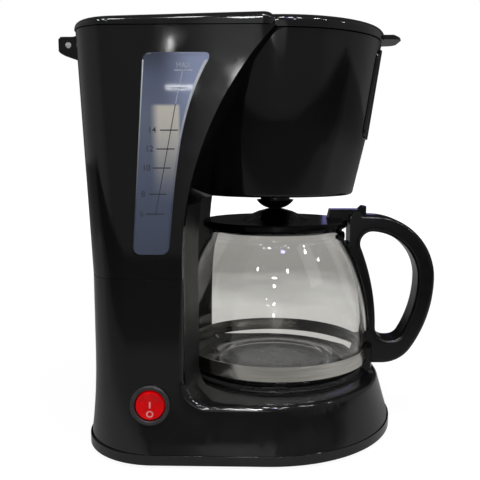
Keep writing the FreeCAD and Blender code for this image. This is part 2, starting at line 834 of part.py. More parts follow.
def lid_knuckle():
    """The arm behind the lid that bends down to the hinge pin."""
    pivot = point(-size("hinge_reach"), size("hinge_height"))
    half = size("knuckle_half_width")
    radius = size("knuckle_radius")
    low = size(LID_Z)
    top = low + size("lid_height - lid_fall - lid_over")
    bend = radius / 2
    neck = -size("rim_rear + lid_over + lid_gap") + 2 * WALL
    corners = [
        point(pivot.x - radius, pivot.z), point(pivot.x - radius, top - 2 * bend),
        point(pivot.x - bend, top - bend / 2), point(pivot.x + bend, top), point(neck, top), point(neck, low),
        point(pivot.x + radius, low), point(pivot.x + radius, pivot.z),
    ]
    start = pivot - Vec(0, half, 0)
    arm = side_face(Part.makePolygon(corners + corners[:1]).Edges, -half).extrude(Vec(0, 2 * half, 0))
    barrel = Part.makeCylinder(radius, 2 * half, start, Vec(0, 1, 0))
    bore = Part.makeCylinder(size("hinge_pin_radius + pin_gap"), 2 * half, start, Vec(0, 1, 0))
    return arm.fuse(barrel).cut(bore)


def main_lid():
    shell = lid_form(0).cut(lid_form(size("lid_wall")))
    return shaped("main_lid", shell.fuse([lid_tab(), lid_knuckle()]))


def lid_hinge_pin():
    half = size("knuckle_half_width + fit_gap + lug_width")
    start = point(-size("hinge_reach"), size("hinge_height")) - Vec(0, half, 0)
    return shaped("lid_hinge_pin", Part.makeCylinder(size("hinge_pin_radius"), 2 * half, start, Vec(0, 1, 0)))


def filter_basket():
    return turned("filter_basket", [
        ("stem_radius + 2 * pin_gap + fit_gap", "nozzle_bottom"),
        ("nozzle_radius", "nozzle_bottom"),
        ("nozzle_radius", "basket_floor_height - basket_wall"),
        ("basket_foot_radius - basket_wall", "basket_floor_height - basket_wall"),
        ("basket_foot_radius - basket_wall", "head_bottom + wall + fit_gap"),
        ("basket_foot_radius", "head_bottom + wall + fit_gap"),
        ("basket_foot_radius", "basket_floor_height - basket_wall"),
        ("basket_floor_radius", "basket_floor_height + 2 * basket_wall"),
        ("basket_rim_radius", "basket_rim_height - basket_wall"),
        ("basket_rim_radius + basket_flange", "basket_rim_height - basket_wall"),
        ("basket_rim_radius + basket_flange", "basket_rim_height"),
        ("basket_rim_radius - basket_wall", "basket_rim_height"),
        ("basket_floor_radius - basket_wall", "basket_floor_height + 3 * basket_wall"),
        ("basket_foot_radius", "basket_floor_height"),
        ("stem_radius + 2 * pin_gap + fit_gap", "basket_floor_height"),
    ])


def mesh_filter():
    rim = "basket_rim_height + fit_gap"
    return turned("mesh_filter", [
        ("0", "mesh_floor_height - mesh_wall"),
        ("mesh_floor_radius", "mesh_floor_height - mesh_wall"),
        ("basket_rim_radius - basket_wall - 2 * mesh_flange", rim),
        ("basket_rim_radius", rim),
        ("basket_rim_radius", rim + " + mesh_wall"),
        ("basket_rim_radius - basket_wall - 2 * mesh_flange - mesh_wall", rim + " + mesh_wall"),
        ("mesh_floor_radius - mesh_wall", "mesh_floor_height"),
        ("0", "mesh_floor_height"),
    ])


def drip_valve():
    dome_top = "valve_bottom + dome_height"
    return turned("drip_valve", [
        ("0", "valve_bottom"),
        ("dome_tip_radius", "valve_bottom", "dome_radius"),
        ("dome_radius", dome_top + " - fit_gap"),
        ("dome_radius", dome_top),
        ("neck_radius", dome_top),
        ("neck_radius", "neck_top"),
        ("stem_radius", "neck_top"),
        ("stem_radius", "basket_floor_height + seal_lift + seal_thickness"),
        ("0", "basket_floor_height + seal_lift + seal_thickness"),
    ])


def drip_seal():
    low = "basket_floor_height + seal_lift"
    return turned("drip_seal", [
        ("stem_radius + pin_gap", low),
        ("seal_radius", low + " + seal_thickness / 2"),
        ("seal_radius", low + " + seal_thickness"),
        ("stem_radius + pin_gap", low + " + seal_thickness"),
    ])


def drip_spring():
    wire = size("spring_wire")
    low = size("neck_top") + wire + PIN_GAP
    high = size("nozzle_bottom") - wire - PIN_GAP
    radius = size("spring_radius")
    turns = size("spring_turns")
    quarters = int(round(4 * turns))
    rise = (high - low) / quarters

    def at(quarter):
        angle = quarter * math.pi / 2
        return Vec(radius * math.cos(angle), radius * math.sin(angle), low + rise * quarter)

    edges = [arc(at(q), at(q + 0.5), at(q + 1)) for q in range(quarters)]
    section = Part.Wire(Part.makeCircle(wire, at(0), Vec(0, 1, 0)))
    pipe = Part.BRepOffsetAPI.MakePipeShell(Part.Wire(edges))
    pipe.add(section)
    pipe.build()
    pipe.makeSolid()
    return shaped("drip_spring", pipe.shape())


def shower_spout():
    riser, _ = pipe_places()
    z = size("spout_height")
    radius = size("spout_radius")
    bore = size("pipe_bore")
    start = Vec(riser[0], riser[1], z)
    way = Vec(0, 0, z) - start
    socket = size("pipe_radius + pipe_gap")
    wall = size("hose_wall")
    arm = Part.makeCylinder(radius, way.Length, start, way)
    hub = cylinder(socket + wall, z - 2 * radius + WALL, z + radius, *riser)
    shower = cylinder(size("shower_radius"), z - radius, z - radius + size("shower_thickness"))
    cap = cylinder(radius + wall, z - radius, z + radius)
    body = arm.fuse([hub, shower, cap])
    body = body.cut(cylinder(socket, z - 3 * radius, size("riser_top") + PIN_GAP, *riser))
    body = body.cut(Part.makeCylinder(bore, way.Length, start, way))
    drop = cylinder(bore, z - 2 * radius, z)
    return shaped("shower_spout", body.cut(drop))


def riser_tube():
    riser, _ = pipe_places()
    return shaped("riser_tube", ring(size("pipe_radius"), size("pipe_bore"), size("riser_bottom"),
                                     size("riser_top"), *riser))


def riser_grommet():
    riser, _ = pipe_places()
    low = size("tank_bottom")
    floor = size("tank_wall")
    bore = size("pipe_radius + pipe_gap")
    flange = ring(size("grommet_radius + tank_wall"), bore, low + floor, low + 2 * floor, *riser)
    plug = ring(size("grommet_radius"), bore, low - floor, low + floor, *riser)
    return shaped("riser_grommet", plug.fuse(flange))


def check_valve():
    _, outlet = pipe_places()
    low = size("riser_bottom")
    floor = size("tank_bottom + tank_wall")
    chamber = low + size("valve_barb")
    chamber_top = chamber + size("2 * (%s) + ball_lift" % BALL_SEAT)
    slot = size("pipe_bore / 2")
    reach = size("ball_radius + fit_gap")
    x, y = outlet
    body = cylinder(size("pipe_radius"), low, chamber, *outlet)
    body = body.fuse(cylinder(size("valve_body_radius"), chamber - WALL, floor, *outlet))
    body = body.fuse(cylinder(size("valve_flange_radius"), floor, floor + size("tank_wall"), *outlet))
    body = body.cut(cylinder(size("pipe_bore"), low, floor + 2 * WALL, *outlet))
    body = body.cut(cylinder(reach, chamber, chamber_top, *outlet))
    relief = block(x - reach, x + reach, y - slot / 2, y + slot / 2, chamber - slot, chamber)
    return shaped("check_valve", body.cut(relief))


def check_ball():
    height = "riser_bottom + valve_barb + " + BALL_SEAT
    place = ("brew_axis_x - pipe_x", "pipe_side", height)
    return sub_part(primitive("Sphere", "check_ball", place, Radius="ball_radius"), "check_ball")


def hose_path(side):
    """From a boiler leg back along the base, then up the tower."""
    z = size(BOILER_Z)
    x = -size("pipe_x")
    bend = size("hose_bend")
    start = Vec(-size("boiler_leg") + size("hose_overlap"), side, z)
    top = Vec(x, side, size("riser_bottom + hose_overlap"))
    turn = math.sqrt(0.5)
    centre = Vec(x + bend, side, z + bend)
    low, high = Vec(x + bend, side, z), Vec(x, side, z + bend)
    middle = centre + Vec(-turn, 0, -turn) * bend
    return Part.Wire([line(start, low), arc(low, middle, high), line(high, top)])


def swept(path, radius):
    """A round bar along a path."""
    first = path.OrderedEdges[0]
    way = first.tangentAt(first.FirstParameter)
    section = Part.Wire(Part.makeCircle(radius, path.OrderedVertexes[0].Point, way))
    return path.makePipeShell([section], True, True)


def hose(label, side):
    path = hose_path(side)
    bore = size("pipe_radius + pipe_gap")
    return shaped(label, swept(path, bore + size("hose_wall")).cut(swept(path, bore)))


def hose_clamps():
    """Spring clips at both ends of both hoses."""
    inner = size("pipe_radius + pipe_gap + hose_wall + pipe_gap")
    outer = inner + size("clamp_thickness")
    width = size("clamp_width")
    z = size(BOILER_Z)
    start = -size("boiler_leg") + (size("hose_overlap") - width) / 2
    top = size("riser_bottom") + (size("hose_overlap") - width) / 2
    clips = []
    for x, side in pipe_places():
        level = Part.makeCylinder(outer, width, Vec(start, side, z), Vec(1, 0, 0))
        clips.append(level.cut(Part.makeCylinder(inner, width, Vec(start, side, z), Vec(1, 0, 0))))
        clips.append(ring(outer, inner, top, top + width, x, side))
    return group("hose_clamps", clips)


def heater_path(leg, z):
    """A horseshoe under the hotplate, open to the rear."""
    radius = size("heater_radius")
    near, far = Vec(0, -radius, z), Vec(0, radius, z)
    back = Vec(-leg, 0, 0)
    return Part.Wire([line(near + back, near), arc(near, Vec(radius, 0, z), far), line(far, far + back)])


def boiler_tube():
    path = heater_path(size("boiler_leg"), size(BOILER_Z))
    return shaped("boiler_tube", swept(path, size("pipe_radius")).cut(swept(path, size("pipe_bore"))))


def heating_element():
    path = heater_path(size("element_leg"), size(ELEMENT_Z))
    return shaped("heating_element", swept(path, size("element_radius")))


def heater_clamp():
    top = BOILER_Z + " - pipe_radius - fit_gap"
    reach = "heater_radius + 2 * pipe_radius"
    corner = ("strap_x - strap_width / 2", "-(%s)" % reach, top + " - strap_thickness")
    strap = primitive("Box", "ClampStrap", corner,
                      Length="strap_width", Width="2 * (%s)" % reach, Height="strap_thickness")
    hole = primitive("Cylinder", "ClampHole", ("strap_x", "0", top + " - 2 * strap_thickness"),
                     Radius="stud_radius + pipe_gap", Height="4 * strap_thickness")
    return sub_part(combined("Cut", "HeaterClamp", (strap, hole)), "heater_clamp")


def heater_screw():
    under = BOILER_Z + " - pipe_radius - fit_gap - strap_thickness"
    shank = primitive("Cylinder", "StudShank", ("strap_x", "0", under),
                      Radius="stud_radius", Height="(%s) - (%s)" % (PLATE_UNDER, under))
    head = primitive("Cylinder", "StudHead", ("strap_x", "0", under + " - stud_radius"),
                     Radius="2 * stud_radius", Height="stud_radius")
    return sub_part(combined("MultiFuse", "HeaterScrew", [shank, head]), "heater_screw")


def thermostat():
    disc = primitive("Cylinder", "thermostat",
                     ("brew_axis_x - thermostat_x", "0", PLATE_UNDER + " - thermostat_height"),
                     Radius="thermostat_radius", Height="thermostat_height")
    return sub_part(disc, "thermostat")


def thermal_fuse():
    tube = primitive("Cylinder", "thermal_fuse",
                     ("brew_axis_x + fuse_x", "fuse_length / 2", PLATE_UNDER + " - fuse_radius - fit_gap"),
                     Radius="fuse_radius", Height="fuse_length")
    tube.Placement.Rotation = FreeCAD.Rotation(Vec(1, 0, 0), 90)
    return sub_part(tube, "thermal_fuse")


def hotplate():
    return turned("hotplate", [
        ("0", PLATE_UNDER),
        ("plate_radius - plate_thickness", PLATE_UNDER),
        ("plate_radius - plate_thickness", "deck_height + plate_rise - plate_skirt"),
        ("plate_radius", "deck_height + plate_rise - plate_skirt"),
        ("plate_radius", PLATE_TOP + " - plate_thickness / 2", "plate_thickness"),
        ("plate_radius - plate_thickness / 2", PLATE_TOP),
        ("0", PLATE_TOP),
    ])


def hotplate_gasket():
    return turned("hotplate_gasket", [
        ("plate_radius + pipe_gap", "deck_height - wall"),
        ("plate_radius + gasket_width", "deck_height - wall"),
        ("plate_radius + gasket_width", "deck_height + fit_gap"),
        ("plate_radius + pipe_gap", "deck_height + fit_gap"),
    ])


def at_switch(obj, label):
    """Stand a piece that is drawn about its own Z axis in the switch's hole."""
    place = switch_frame()
    place.Base.x += size("brew_axis_x")
    obj.Placement = place
    obj.Label = label
    subparts.append(obj)
    return obj


def switch_body():
    body = doc.addObject("PartDesign::Body", "switch_body")
    bore = "rocker_radius + fit_gap + pipe_gap"
    edge = "fit_gap"
    sketch = outline_sketch(body, "XZ_Plane", [
        ("0", "-switch_depth"),
        ("switch_body_radius", "-switch_depth"),
        ("switch_body_radius", "fit_gap"),
        ("bezel_radius", "fit_gap"),
        ("bezel_radius", "bezel_height - 2 * %s" % edge),
        ("bezel_radius - 2 * %s" % edge, "bezel_height"),
        (bore + " + %s" % edge, "bezel_height"),
        (bore, "bezel_height - %s" % edge),
        (bore, "-rocker_pivot - rocker_radius"),
        ("0", "-rocker_pivot - rocker_radius"),
    ])
    turn = body.newObject("PartDesign::Revolution", "SwitchTurn")
    turn.Profile = sketch
    turn.ReferenceAxis = (sketch, ["V_Axis"])
    turn.Angle = 360
    return at_switch(body, "switch_body")


def switch_rocker():
    """A round rocker: a ball about its pivot with two facets, the lower one pressed flush."""
    radius = size("rocker_radius")
    pivot = Vec(0, 0, -size("rocker_pivot"))
    crown = size("rocker_crown")
    crease = Vec(0, size("rocker_crease"), crown - size("rocker_pivot"))
    ball = Part.makeSphere(radius, pivot)
    far = 2 * radius
    upper = Part.makeBox(2 * far, far, far, Vec(-far, 0, 0))
    lower = Part.makeBox(2 * far, far, far, Vec(-far, -far, 0))
    upper.rotate(Vec(0, 0, 0), Vec(1, 0, 0), 2 * size("rocker_facet"))
    rocker = ball.cut(upper.translated(crease)).cut(lower.translated(crease))
    back = Part.makeBox(2 * far, 2 * far, far, Vec(-far, -far, -far - radius / 2) + pivot)
    obj = doc.addObject("Part::Feature", "switch_rocker")
    obj.Shape = rocker.cut(back)
    return at_switch(obj, "switch_rocker")


def switch_terminals():
    """Blade terminals behind the switch, with its two posts."""
    length = size("terminal_length")
    thick = size("terminal_length / 10")
    start = -size("switch_depth")
    blades = []
    for place in (-1, 1):
        x = place * size("switch_body_radius") / 2
        blades.append(Part.makeBox(thick, length / 1.3, length, Vec(x, -length / 2.6, start - length)))
    obj = doc.addObject("Part::Feature", "switch_terminals")
    obj.Shape = Part.makeCompound(blades)
    return at_switch(obj, "switch_terminals")


def cord_gland():
    """Grommet where the supply cord enters at the rear."""
    radius = size("gland_radius")
    bore = size("gland_bore")
    back = Vec(-1, 0, 0)
    lean = (size("flare_top") - size("gland_height")) / (size("flare_top") - LIP_TOP)
    out = (size("base_rear") - size("lip_step") - size("tower_rear")) * lean ** 2
    barrel = Part.makeCylinder(radius, 4 * WALL, gland_place(out - 3 * WALL), back)
    inner = Part.makeCylinder(radius + WALL, WALL, gland_place(out - 3 * WALL), back)
    hole = Part.makeCylinder(bore, 8 * WALL, gland_place(out - 5 * WALL), back)
    return shaped("cord_gland", barrel.fuse(inner).cut(hole))


def terminal_block():
    floor = "foot_height + base_floor"
    box = primitive("Box", "terminal_block",
                    ("brew_axis_x - tie_x - block_depth / 2", "-block_length / 2", floor),
                    Length="block_depth", Width="block_length", Height="block_height")
    return sub_part(box, "terminal_block")


def base_screws():
    low = size("foot_height")
    head = size("screw_head_height") - PIN_GAP
    top = size("foot_height + base_floor + boss_height - wall") - 2 * WALL
    screws = []
    for x, y in screw_places():
        screw = cylinder(size("screw_head_radius"), low + PIN_GAP, low + head, x, y)
        screws.append(screw.fuse(cylinder(size("screw_radius"), low + head, top, x, y)))
    return group("base_screws", screws)


def housing_screws():
    low = SEAM - size("tie_boss")
    top = SEAM + size("tie_boss") - 2 * WALL
    screws = []
    for x, y in tie_places():
        screw = cylinder(size("screw_head_radius"), low - size("screw_head_height"), low, x, y)
        screws.append(screw.fuse(cylinder(size("screw_radius"), low, top, x, y)))
    return group("housing_screws", screws)


def rubber_feet():
    pads = []
    for x in (size("foot_front_x"), -size("foot_rear_x")):
        for side in (-1, 1):
            pads.append(cylinder(size("foot_radius"), 0, size("foot_height"), x, side * size("foot_side")))
    return group("rubber_feet", pads)


def glass_outline(grow, inner):
    """Half section of the jug, radius and height, grown outwards; the inside is closed for a clearance."""
    foot = size(FOOT) - grow
    belly = size("glass_belly_radius") + grow
    belly_z = size("glass_belly_height")
    band = size("glass_band_radius") + grow
    neck = size("glass_neck_radius") + grow
    neck_z = size("glass_neck_height")
    rise = neck_z - belly_z
    drop = belly - neck
    radius = (rise * rise + drop * drop) / (2 * drop)
    turn = math.degrees(math.asin(rise / radius))
    centre = point(belly - radius, belly_z)
    heel = point(band, size("band_bottom"))
    toe = point(size("glass_foot_radius"), foot)
    heel_mid = point((heel.x * 2 + toe.x) / 3, (heel.z + toe.z * 2) / 3)
    shoulder = point(band, size("band_top"))
    rim = size("glass_rim_radius") + grow
    top = size("glass_rim_height")
    flare_z = (neck_z + top) / 2
    edges = [
        line(point(0, foot), toe),
        arc(toe, heel_mid, heel),
        line(heel, shoulder),
        line(shoulder, point(belly, belly_z)),
        arc(point(belly, belly_z), on_circle(centre, radius, turn / 2), point(neck, neck_z)),
        line(point(neck, neck_z), point(neck, flare_z)),
        line(point(neck, flare_z), point(rim, top)),
    ]
    if inner:
        edges.append(line(point(rim, top), point(rim, top + WALL)))
        top += WALL
    edges += [line(point(rim, top), point(0, top)), line(point(0, top), point(0, foot))]
    return Part.Face(Part.Wire(edges))


def glass_form(grow, inner=False):
    return glass_outline(grow, inner).revolve(Vec(0, 0, 0), Vec(0, 0, 1), 360)


def carafe_glass():
    return shaped("carafe_glass", glass_form(0).cut(glass_form(-size("glass_wall"), True)))


def carafe_band():
    inner = size("glass_band_radius + pipe_gap")
    outer = inner + size("band_thickness")
    low, high = size("band_bottom + fit_gap"), size("band_top - fit_gap")
    middle = (low + high) / 2
    thick = size("band_thickness")
    half = size("lever_half_width")
    tab_end = size("band_tab_reach")
    tab = block(inner + thick / 2, tab_end, -half, half, middle - thick / 2, middle + thick / 2)
    hole = cylinder(size("screw_radius + pipe_gap"), low, high, (outer + size("band_tab_reach")) / 2, 0)
    return shaped("carafe_band", ring(outer, inner, low, high).fuse(tab).cut(hole))


def carafe_neck_clip():
    """A clip behind the handle's top that holds the neck, with a clasp eye on its near side."""
    inner = size("glass_neck_radius + pipe_gap")
    outer = inner + size("band_thickness")
    height = size("clip_height")
    low = size("glass_neck_height") + GAP
    spread = size("clip_turn")
    sector = Part.makeCylinder(outer, height, Vec(0, 0, low), Vec(0, 0, 1), 2 * spread)
    sector.rotate(Vec(0, 0, 0), Vec(0, 0, 1), -spread)
    strap = sector.cut(cylinder(inner, low, low + height))
    turn = math.radians(size("clasp_turn"))
    way = Vec(math.cos(turn), -math.sin(turn), 0)
    start = way * inner + Vec(0, 0, low + height / 2)
    depth = size("clasp_radius")
    eye = Part.makeCylinder(size("clasp_radius"), depth, start, way).cut(glass_form(GAP, True))
    bore = Part.makeCylinder(size("clasp_bore"), 2 * depth, start + way * size("band_thickness"), way)
    return shaped("carafe_neck_clip", strap.fuse(eye).cut(bore))


def handle_outline(inset):
    """Outer line of the handle from its top to its foot, moved inwards by a thickness."""
    reach, top, foot = size("handle_reach"), size("handle_top"), size("handle_foot")
    root = size("handle_root")
    upper = reach - root
    upper_centre = point(root, top - upper)
    lower = size("grip_lower_radius")
    turn = size("grip_lower_turn")
    lower_centre = point(reach - lower, upper_centre.z)
    knee = on_circle(lower_centre, lower, -turn)
    heel = (knee.z - foot) / (1 - math.sin(math.radians(turn)))
    heel_centre = point(knee.x - heel * math.cos(math.radians(turn)), foot + heel)
    return [
        (upper_centre, upper - inset, 90, 0),
        (lower_centre, lower - inset, 0, -turn),
        (heel_centre, heel - inset, -turn, -90),
    ]


def arc_edges(arcs):
    edges = []
    for centre, radius, start, end in arcs:
        ends = [on_circle(centre, radius, a) for a in (start, (start + end) / 2, end)]
        edges.append(arc(*ends))
    return edges


def handle_prism():
    """The handle's side view, padded and rounded."""
    half = size("handle_half_width")
    inside = size("glass_neck_radius") - WALL
    arcs = handle_outline(0)
    edges = arc_edges(arcs)
    first = edges[0].Vertexes[0].Point
    last = edges[-1].Vertexes[-1].Point
    top, foot = point(inside, first.z), point(inside, last.z)
    outer = [line(top, first)] + edges + [line(last, foot), line(foot, top)]
    solid = side_face(outer, -half).extrude(Vec(0, 2 * half, 0))
    solid = solid.cut(handle_opening(half))
    skin = size("handle_round")

    def on_rim(p):
        return abs(abs(p.y) - half) < 0.01 and p.x > inside + 0.01

    return solid.makeFillet(skin, edges_near(solid, on_rim))


def handle_opening(half):
    """The finger gap: the outer line moved in by the grip, closed by the strut along the glass."""
    upper, lower, _ = handle_outline(size("grip_thickness"))
    strut = size("strut_radius")
    edge = size("glass_belly_radius + fit_gap + strut_thickness")
    centre = point(edge - strut, size("glass_belly_height"))
    start = on_circle(centre, strut, 0)
    crossing = circle_crossing(centre, strut, upper[0], upper[1])
    turn = math.degrees(math.atan2(crossing.z - centre.z, crossing.x - centre.x))
    corner = math.degrees(math.atan2(crossing.z - upper[0].z, crossing.x - upper[0].x))
    knee = on_circle(lower[0], lower[1], lower[3])
    base = point(start.x, size("opening_bottom"))
    edges = [line(base, start), arc(start, on_circle(centre, strut, turn / 2), crossing)]
    edges += arc_edges([(upper[0], upper[1], corner, 0), lower])
    edges.append(line(knee, base))
    solid = side_face(edges, -2 * half).extrude(Vec(0, 4 * half, 0))

    def on_corner(p):
        return any((point(p.x, p.z) - c).Length < 0.01 for c in (crossing, knee, base))

    return solid.makeFillet(size("opening_corner"), edges_near(solid, on_corner))


def circle_crossing(centre, radius, other, other_radius):
    """The upper crossing of two circles drawn in X and Z."""
    way = other - centre
    along = (radius ** 2 - other_radius ** 2 + way.Length ** 2) / (2 * way.Length)
    up = math.sqrt(radius ** 2 - along ** 2)
    unit = way.normalize()
    return centre + unit * along + Vec(-unit.z, 0, unit.x) * up


def carafe_handle():
    body = handle_prism().fuse(handle_saddle()).cut(glass_form(size("fit_gap"), True))
    behind_lid = size("jug_lid_radius") + 2 * GAP
    body = body.cut(block(0, behind_lid, -RIM, RIM, size("strut_top"), 2 * RIM))
    outer = size("glass_band_radius + pipe_gap + band_thickness") + GAP
    body = body.cut(cylinder(outer, size("band_bottom"), size("band_top")))
    half = size("lever_half_width")
    wide = half + GAP
    slot_low = size("lever_bottom") - 3 * GAP
    body = body.cut(block(0, size("lever_reach") + 2 * GAP, -wide, wide, slot_low, 2 * RIM))
    pin = point(size("jug_pin_x"), size("jug_pin_height"))
    width = size("handle_half_width") - wide
    for side in (-1, 1):
        y = wide if side > 0 else -size("handle_half_width")
        ear = Part.makeCylinder(size("jug_lug_radius"), width, pin + Vec(0, y, 0), Vec(0, 1, 0))
        seat = block(pin.x - size("jug_lug_radius"), pin.x + size("jug_lug_radius"), y, y + width,
                     pin.z - size("jug_lug_radius") - WALL, pin.z)
        body = body.fuse([ear, seat])
    bore = size("jug_pin_radius + pin_gap")
    body = body.cut(Part.makeCylinder(bore, 2 * RIM, pin - Vec(0, RIM, 0), Vec(0, 1, 0)))
    middle = size("(band_bottom + band_top) / 2")
    thick = size("band_thickness")
    tab_room = thick / 2 + GAP
    tab_end = size("band_tab_reach") + GAP
    body = body.cut(block(0, tab_end, -wide, wide, middle - tab_room, middle + tab_room))
    x = handle_screw_x()
    body = body.cut(cylinder(size("screw_radius + pin_gap"), 0, middle + 2 * WALL, x))
    head = size("handle_foot + screw_head_height")
    return shaped("carafe_handle", body.cut(cylinder(size("screw_head_radius") + GAP, 0, head, x)))


def handle_saddle():
    """The foot of the handle, spread round the steel band."""
    half = size("saddle_half_width")
    outer = size("glass_band_radius + saddle_thickness")
    low, high = size("handle_foot"), size("band_top - fit_gap")
    return cylinder(outer, low, high).common(block(0, 2 * outer, -half, half, low, high))


def handle_screw_x():
    inner = size("glass_band_radius + pipe_gap + band_thickness")
    return (inner + size("band_tab_reach")) / 2


def handle_screw():
    x = handle_screw_x()
    low = size("handle_foot") + PIN_GAP
    head = size("handle_foot + screw_head_height") - PIN_GAP
    top = size("(band_bottom + band_top) / 2") + WALL
    screw = cylinder(size("screw_head_radius"), low, head, x)
    return shaped("handle_screw", screw.fuse(cylinder(size("screw_radius"), head, top, x)))


def jug_lid_disc():
    """Lid of the jug, turned: rim, plug, and the hub that lifts the drip valve."""
    low = size(JUG_LID_Z)
    high = low + size("jug_lid_thickness")
    radius = size("jug_lid_radius")
    edge = size("jug_lid_thickness / 4")
    plug = size("jug_plug_radius")
    depth = size("jug_plug_depth")
    hub_top = size("hub_height")
    skin = size("jug_lid_thickness / 2")
    hub, tip = size("hub_radius"), size("hub_top_radius")
    knee_r, knee_z = (hub + tip) * 0.4, high + (hub_top - high) * 0.75
    profile = [
        (0, high - skin), (plug - skin, high - skin), (plug - skin, low - depth), (plug, low - depth),
        (plug, low),
        (radius - edge, low), (radius, low + edge), (radius, high - edge), (radius - edge, high),
        (hub, high), (knee_r, knee_z), (tip, hub_top), (0, hub_top),
    ]
    ends = [point(r, z) for r, z in profile]
    face = Part.Face(Part.makePolygon(ends + ends[:1]))
    return face.revolve(Vec(0, 0, 0), Vec(0, 0, 1), 360)


def jug_lever():
    """Thumb lever over the handle, on the lid's pin."""
    half = size("lever_half_width")
    start, reach = size("lever_start"), size("lever_reach")
    low, top, tip = size("lever_bottom"), size("lever_top"), size("lever_tip")
    deck = size(JUG_LID_Z + " + jug_lid_thickness / 2")
    rise = tip - top
    root = size("jug_lid_radius")
    corners = [
        point(start, deck), point(start + rise, top), point(reach - 2 * rise, top), point(reach - rise, tip),
        point(reach, tip), point(reach, low + rise), point(reach - rise, low), point(root, low),
        point(root - rise, deck),
    ]
    lever = side_face(Part.makePolygon(corners + corners[:1]).Edges, -half).extrude(Vec(0, 2 * half, 0))
    pin = point(size("jug_pin_x"), size("jug_pin_height")) - Vec(0, half, 0)
    return lever.cut(Part.makeCylinder(size("jug_pin_radius + pin_gap"), 2 * half, pin, Vec(0, 1, 0)))


def carafe_lid():
    return shaped("carafe_lid", jug_lid_disc().fuse(jug_lever()))


def carafe_lid_pin():
    half = size("handle_half_width") - PIN_GAP
    start = point(size("jug_pin_x"), size("jug_pin_height")) - Vec(0, half, 0)
    return shaped("carafe_lid_pin", Part.makeCylinder(size("jug_pin_radius"), 2 * half, start, Vec(0, 1, 0)))


BUILDERS = [
    base_plate, lower_housing, upper_housing, water_gauge, water_tank, main_lid, lid_hinge_pin,
    filter_basket, mesh_filter, drip_valve, drip_seal, drip_spring, shower_spout, riser_tube, riser_grommet,
    check_valve, check_ball, hose_clamps, boiler_tube, heating_element, heater_clamp, heater_screw,
    thermostat, thermal_fuse, hotplate, hotplate_gasket, switch_body, switch_rocker, switch_terminals,
    cord_gland, terminal_block, base_screws, housing_screws, rubber_feet, carafe_glass, carafe_band,
    carafe_neck_clip, carafe_handle, handle_screw, carafe_lid, carafe_lid_pin,
]
for builder in BUILDERS:
    builder()
for name, side in (("riser_hose", -1), ("inlet_hose", 1)):
    hose(name, side * size("pipe_side"))
doc.recompute()

for obj in doc.Objects:
    if {"Invalid", "Error"} & set(obj.State):
        raise RuntimeError("%s did not build: %s" % (obj.Label, obj.State))
for obj in subparts:
    if obj.Shape.isNull() or not obj.Shape.isValid() or obj.Shape.Volume <= 0:
        raise RuntimeError("%s has no sound solid" % obj.Label)

os.makedirs("parts", exist_ok=True)
for obj in subparts:
    obj.Shape.exportStep("parts/%s.step" % obj.Label)
box = FreeCAD.BoundBox()
for obj in subparts:
    box.add(obj.Shape.BoundBox)
print("%d sub-parts, box %s" % (len(subparts), box))
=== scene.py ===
import bpy
import bmesh
import json
import math
from mathutils import Euler, Matrix, Vector

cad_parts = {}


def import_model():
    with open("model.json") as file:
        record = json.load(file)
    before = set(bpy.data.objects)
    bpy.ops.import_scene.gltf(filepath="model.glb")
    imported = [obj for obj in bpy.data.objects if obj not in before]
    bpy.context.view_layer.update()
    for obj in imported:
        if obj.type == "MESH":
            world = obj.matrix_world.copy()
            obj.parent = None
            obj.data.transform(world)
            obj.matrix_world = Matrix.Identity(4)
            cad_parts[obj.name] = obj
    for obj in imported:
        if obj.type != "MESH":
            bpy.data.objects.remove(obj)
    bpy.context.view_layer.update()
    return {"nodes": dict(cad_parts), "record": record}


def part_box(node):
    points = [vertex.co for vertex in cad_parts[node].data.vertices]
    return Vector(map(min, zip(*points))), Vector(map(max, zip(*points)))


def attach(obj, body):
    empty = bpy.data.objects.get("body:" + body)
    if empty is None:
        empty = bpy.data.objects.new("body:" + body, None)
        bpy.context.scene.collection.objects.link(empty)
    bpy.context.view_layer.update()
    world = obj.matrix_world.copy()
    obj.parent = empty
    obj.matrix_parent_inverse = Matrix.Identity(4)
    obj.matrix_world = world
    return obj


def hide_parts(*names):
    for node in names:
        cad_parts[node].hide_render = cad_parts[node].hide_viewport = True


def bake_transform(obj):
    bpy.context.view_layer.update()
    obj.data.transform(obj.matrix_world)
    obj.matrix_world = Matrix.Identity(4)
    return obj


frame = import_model()
nodes = frame["nodes"]
body_of_node = {n: b for b, members in frame["record"]["behaviour"]["bodies"].items() for n in members}

MM = 0.001
plate_low, plate_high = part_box("hotplate")
BREW_X = (plate_low.x + plate_high.x) / 2
gauge_low, gauge_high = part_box("water_gauge")
GAUGE_FACE = gauge_low.y
GAUGE_BOTTOM = gauge_low.z / MM
GAUGE_TOP = gauge_high.z / MM
# Noise textures keep mostly between these two values
NOISE_LOW = 0.3
NOISE_HIGH = 0.7


# Small tools


def along_brew(x_mm):
    """Row X of a distance in front of the brew axis."""
    return BREW_X + x_mm * MM


def linear(code):
    """An sRGB hex value as a linear colour."""
    channels = [int(code[i:i + 2], 16) / 255 for i in (1, 3, 5)]
    return tuple(c / 12.92 if c <= 0.04045 else ((c + 0.055) / 1.055) ** 2.4 for c in channels) + (1.0,)


def add(tree, kind, values=None, links=None, **settings):
    """One node: settings are its properties, values its socket values, links its inputs."""
    node = tree.nodes.new(kind)
    for name, value in settings.items():
        setattr(node, name, value)
    for name, value in (values or {}).items():
        node.inputs[name].default_value = value
    for name, (source, output) in (links or {}).items():
        tree.links.new(source.outputs[output], node.inputs[name])
    return node


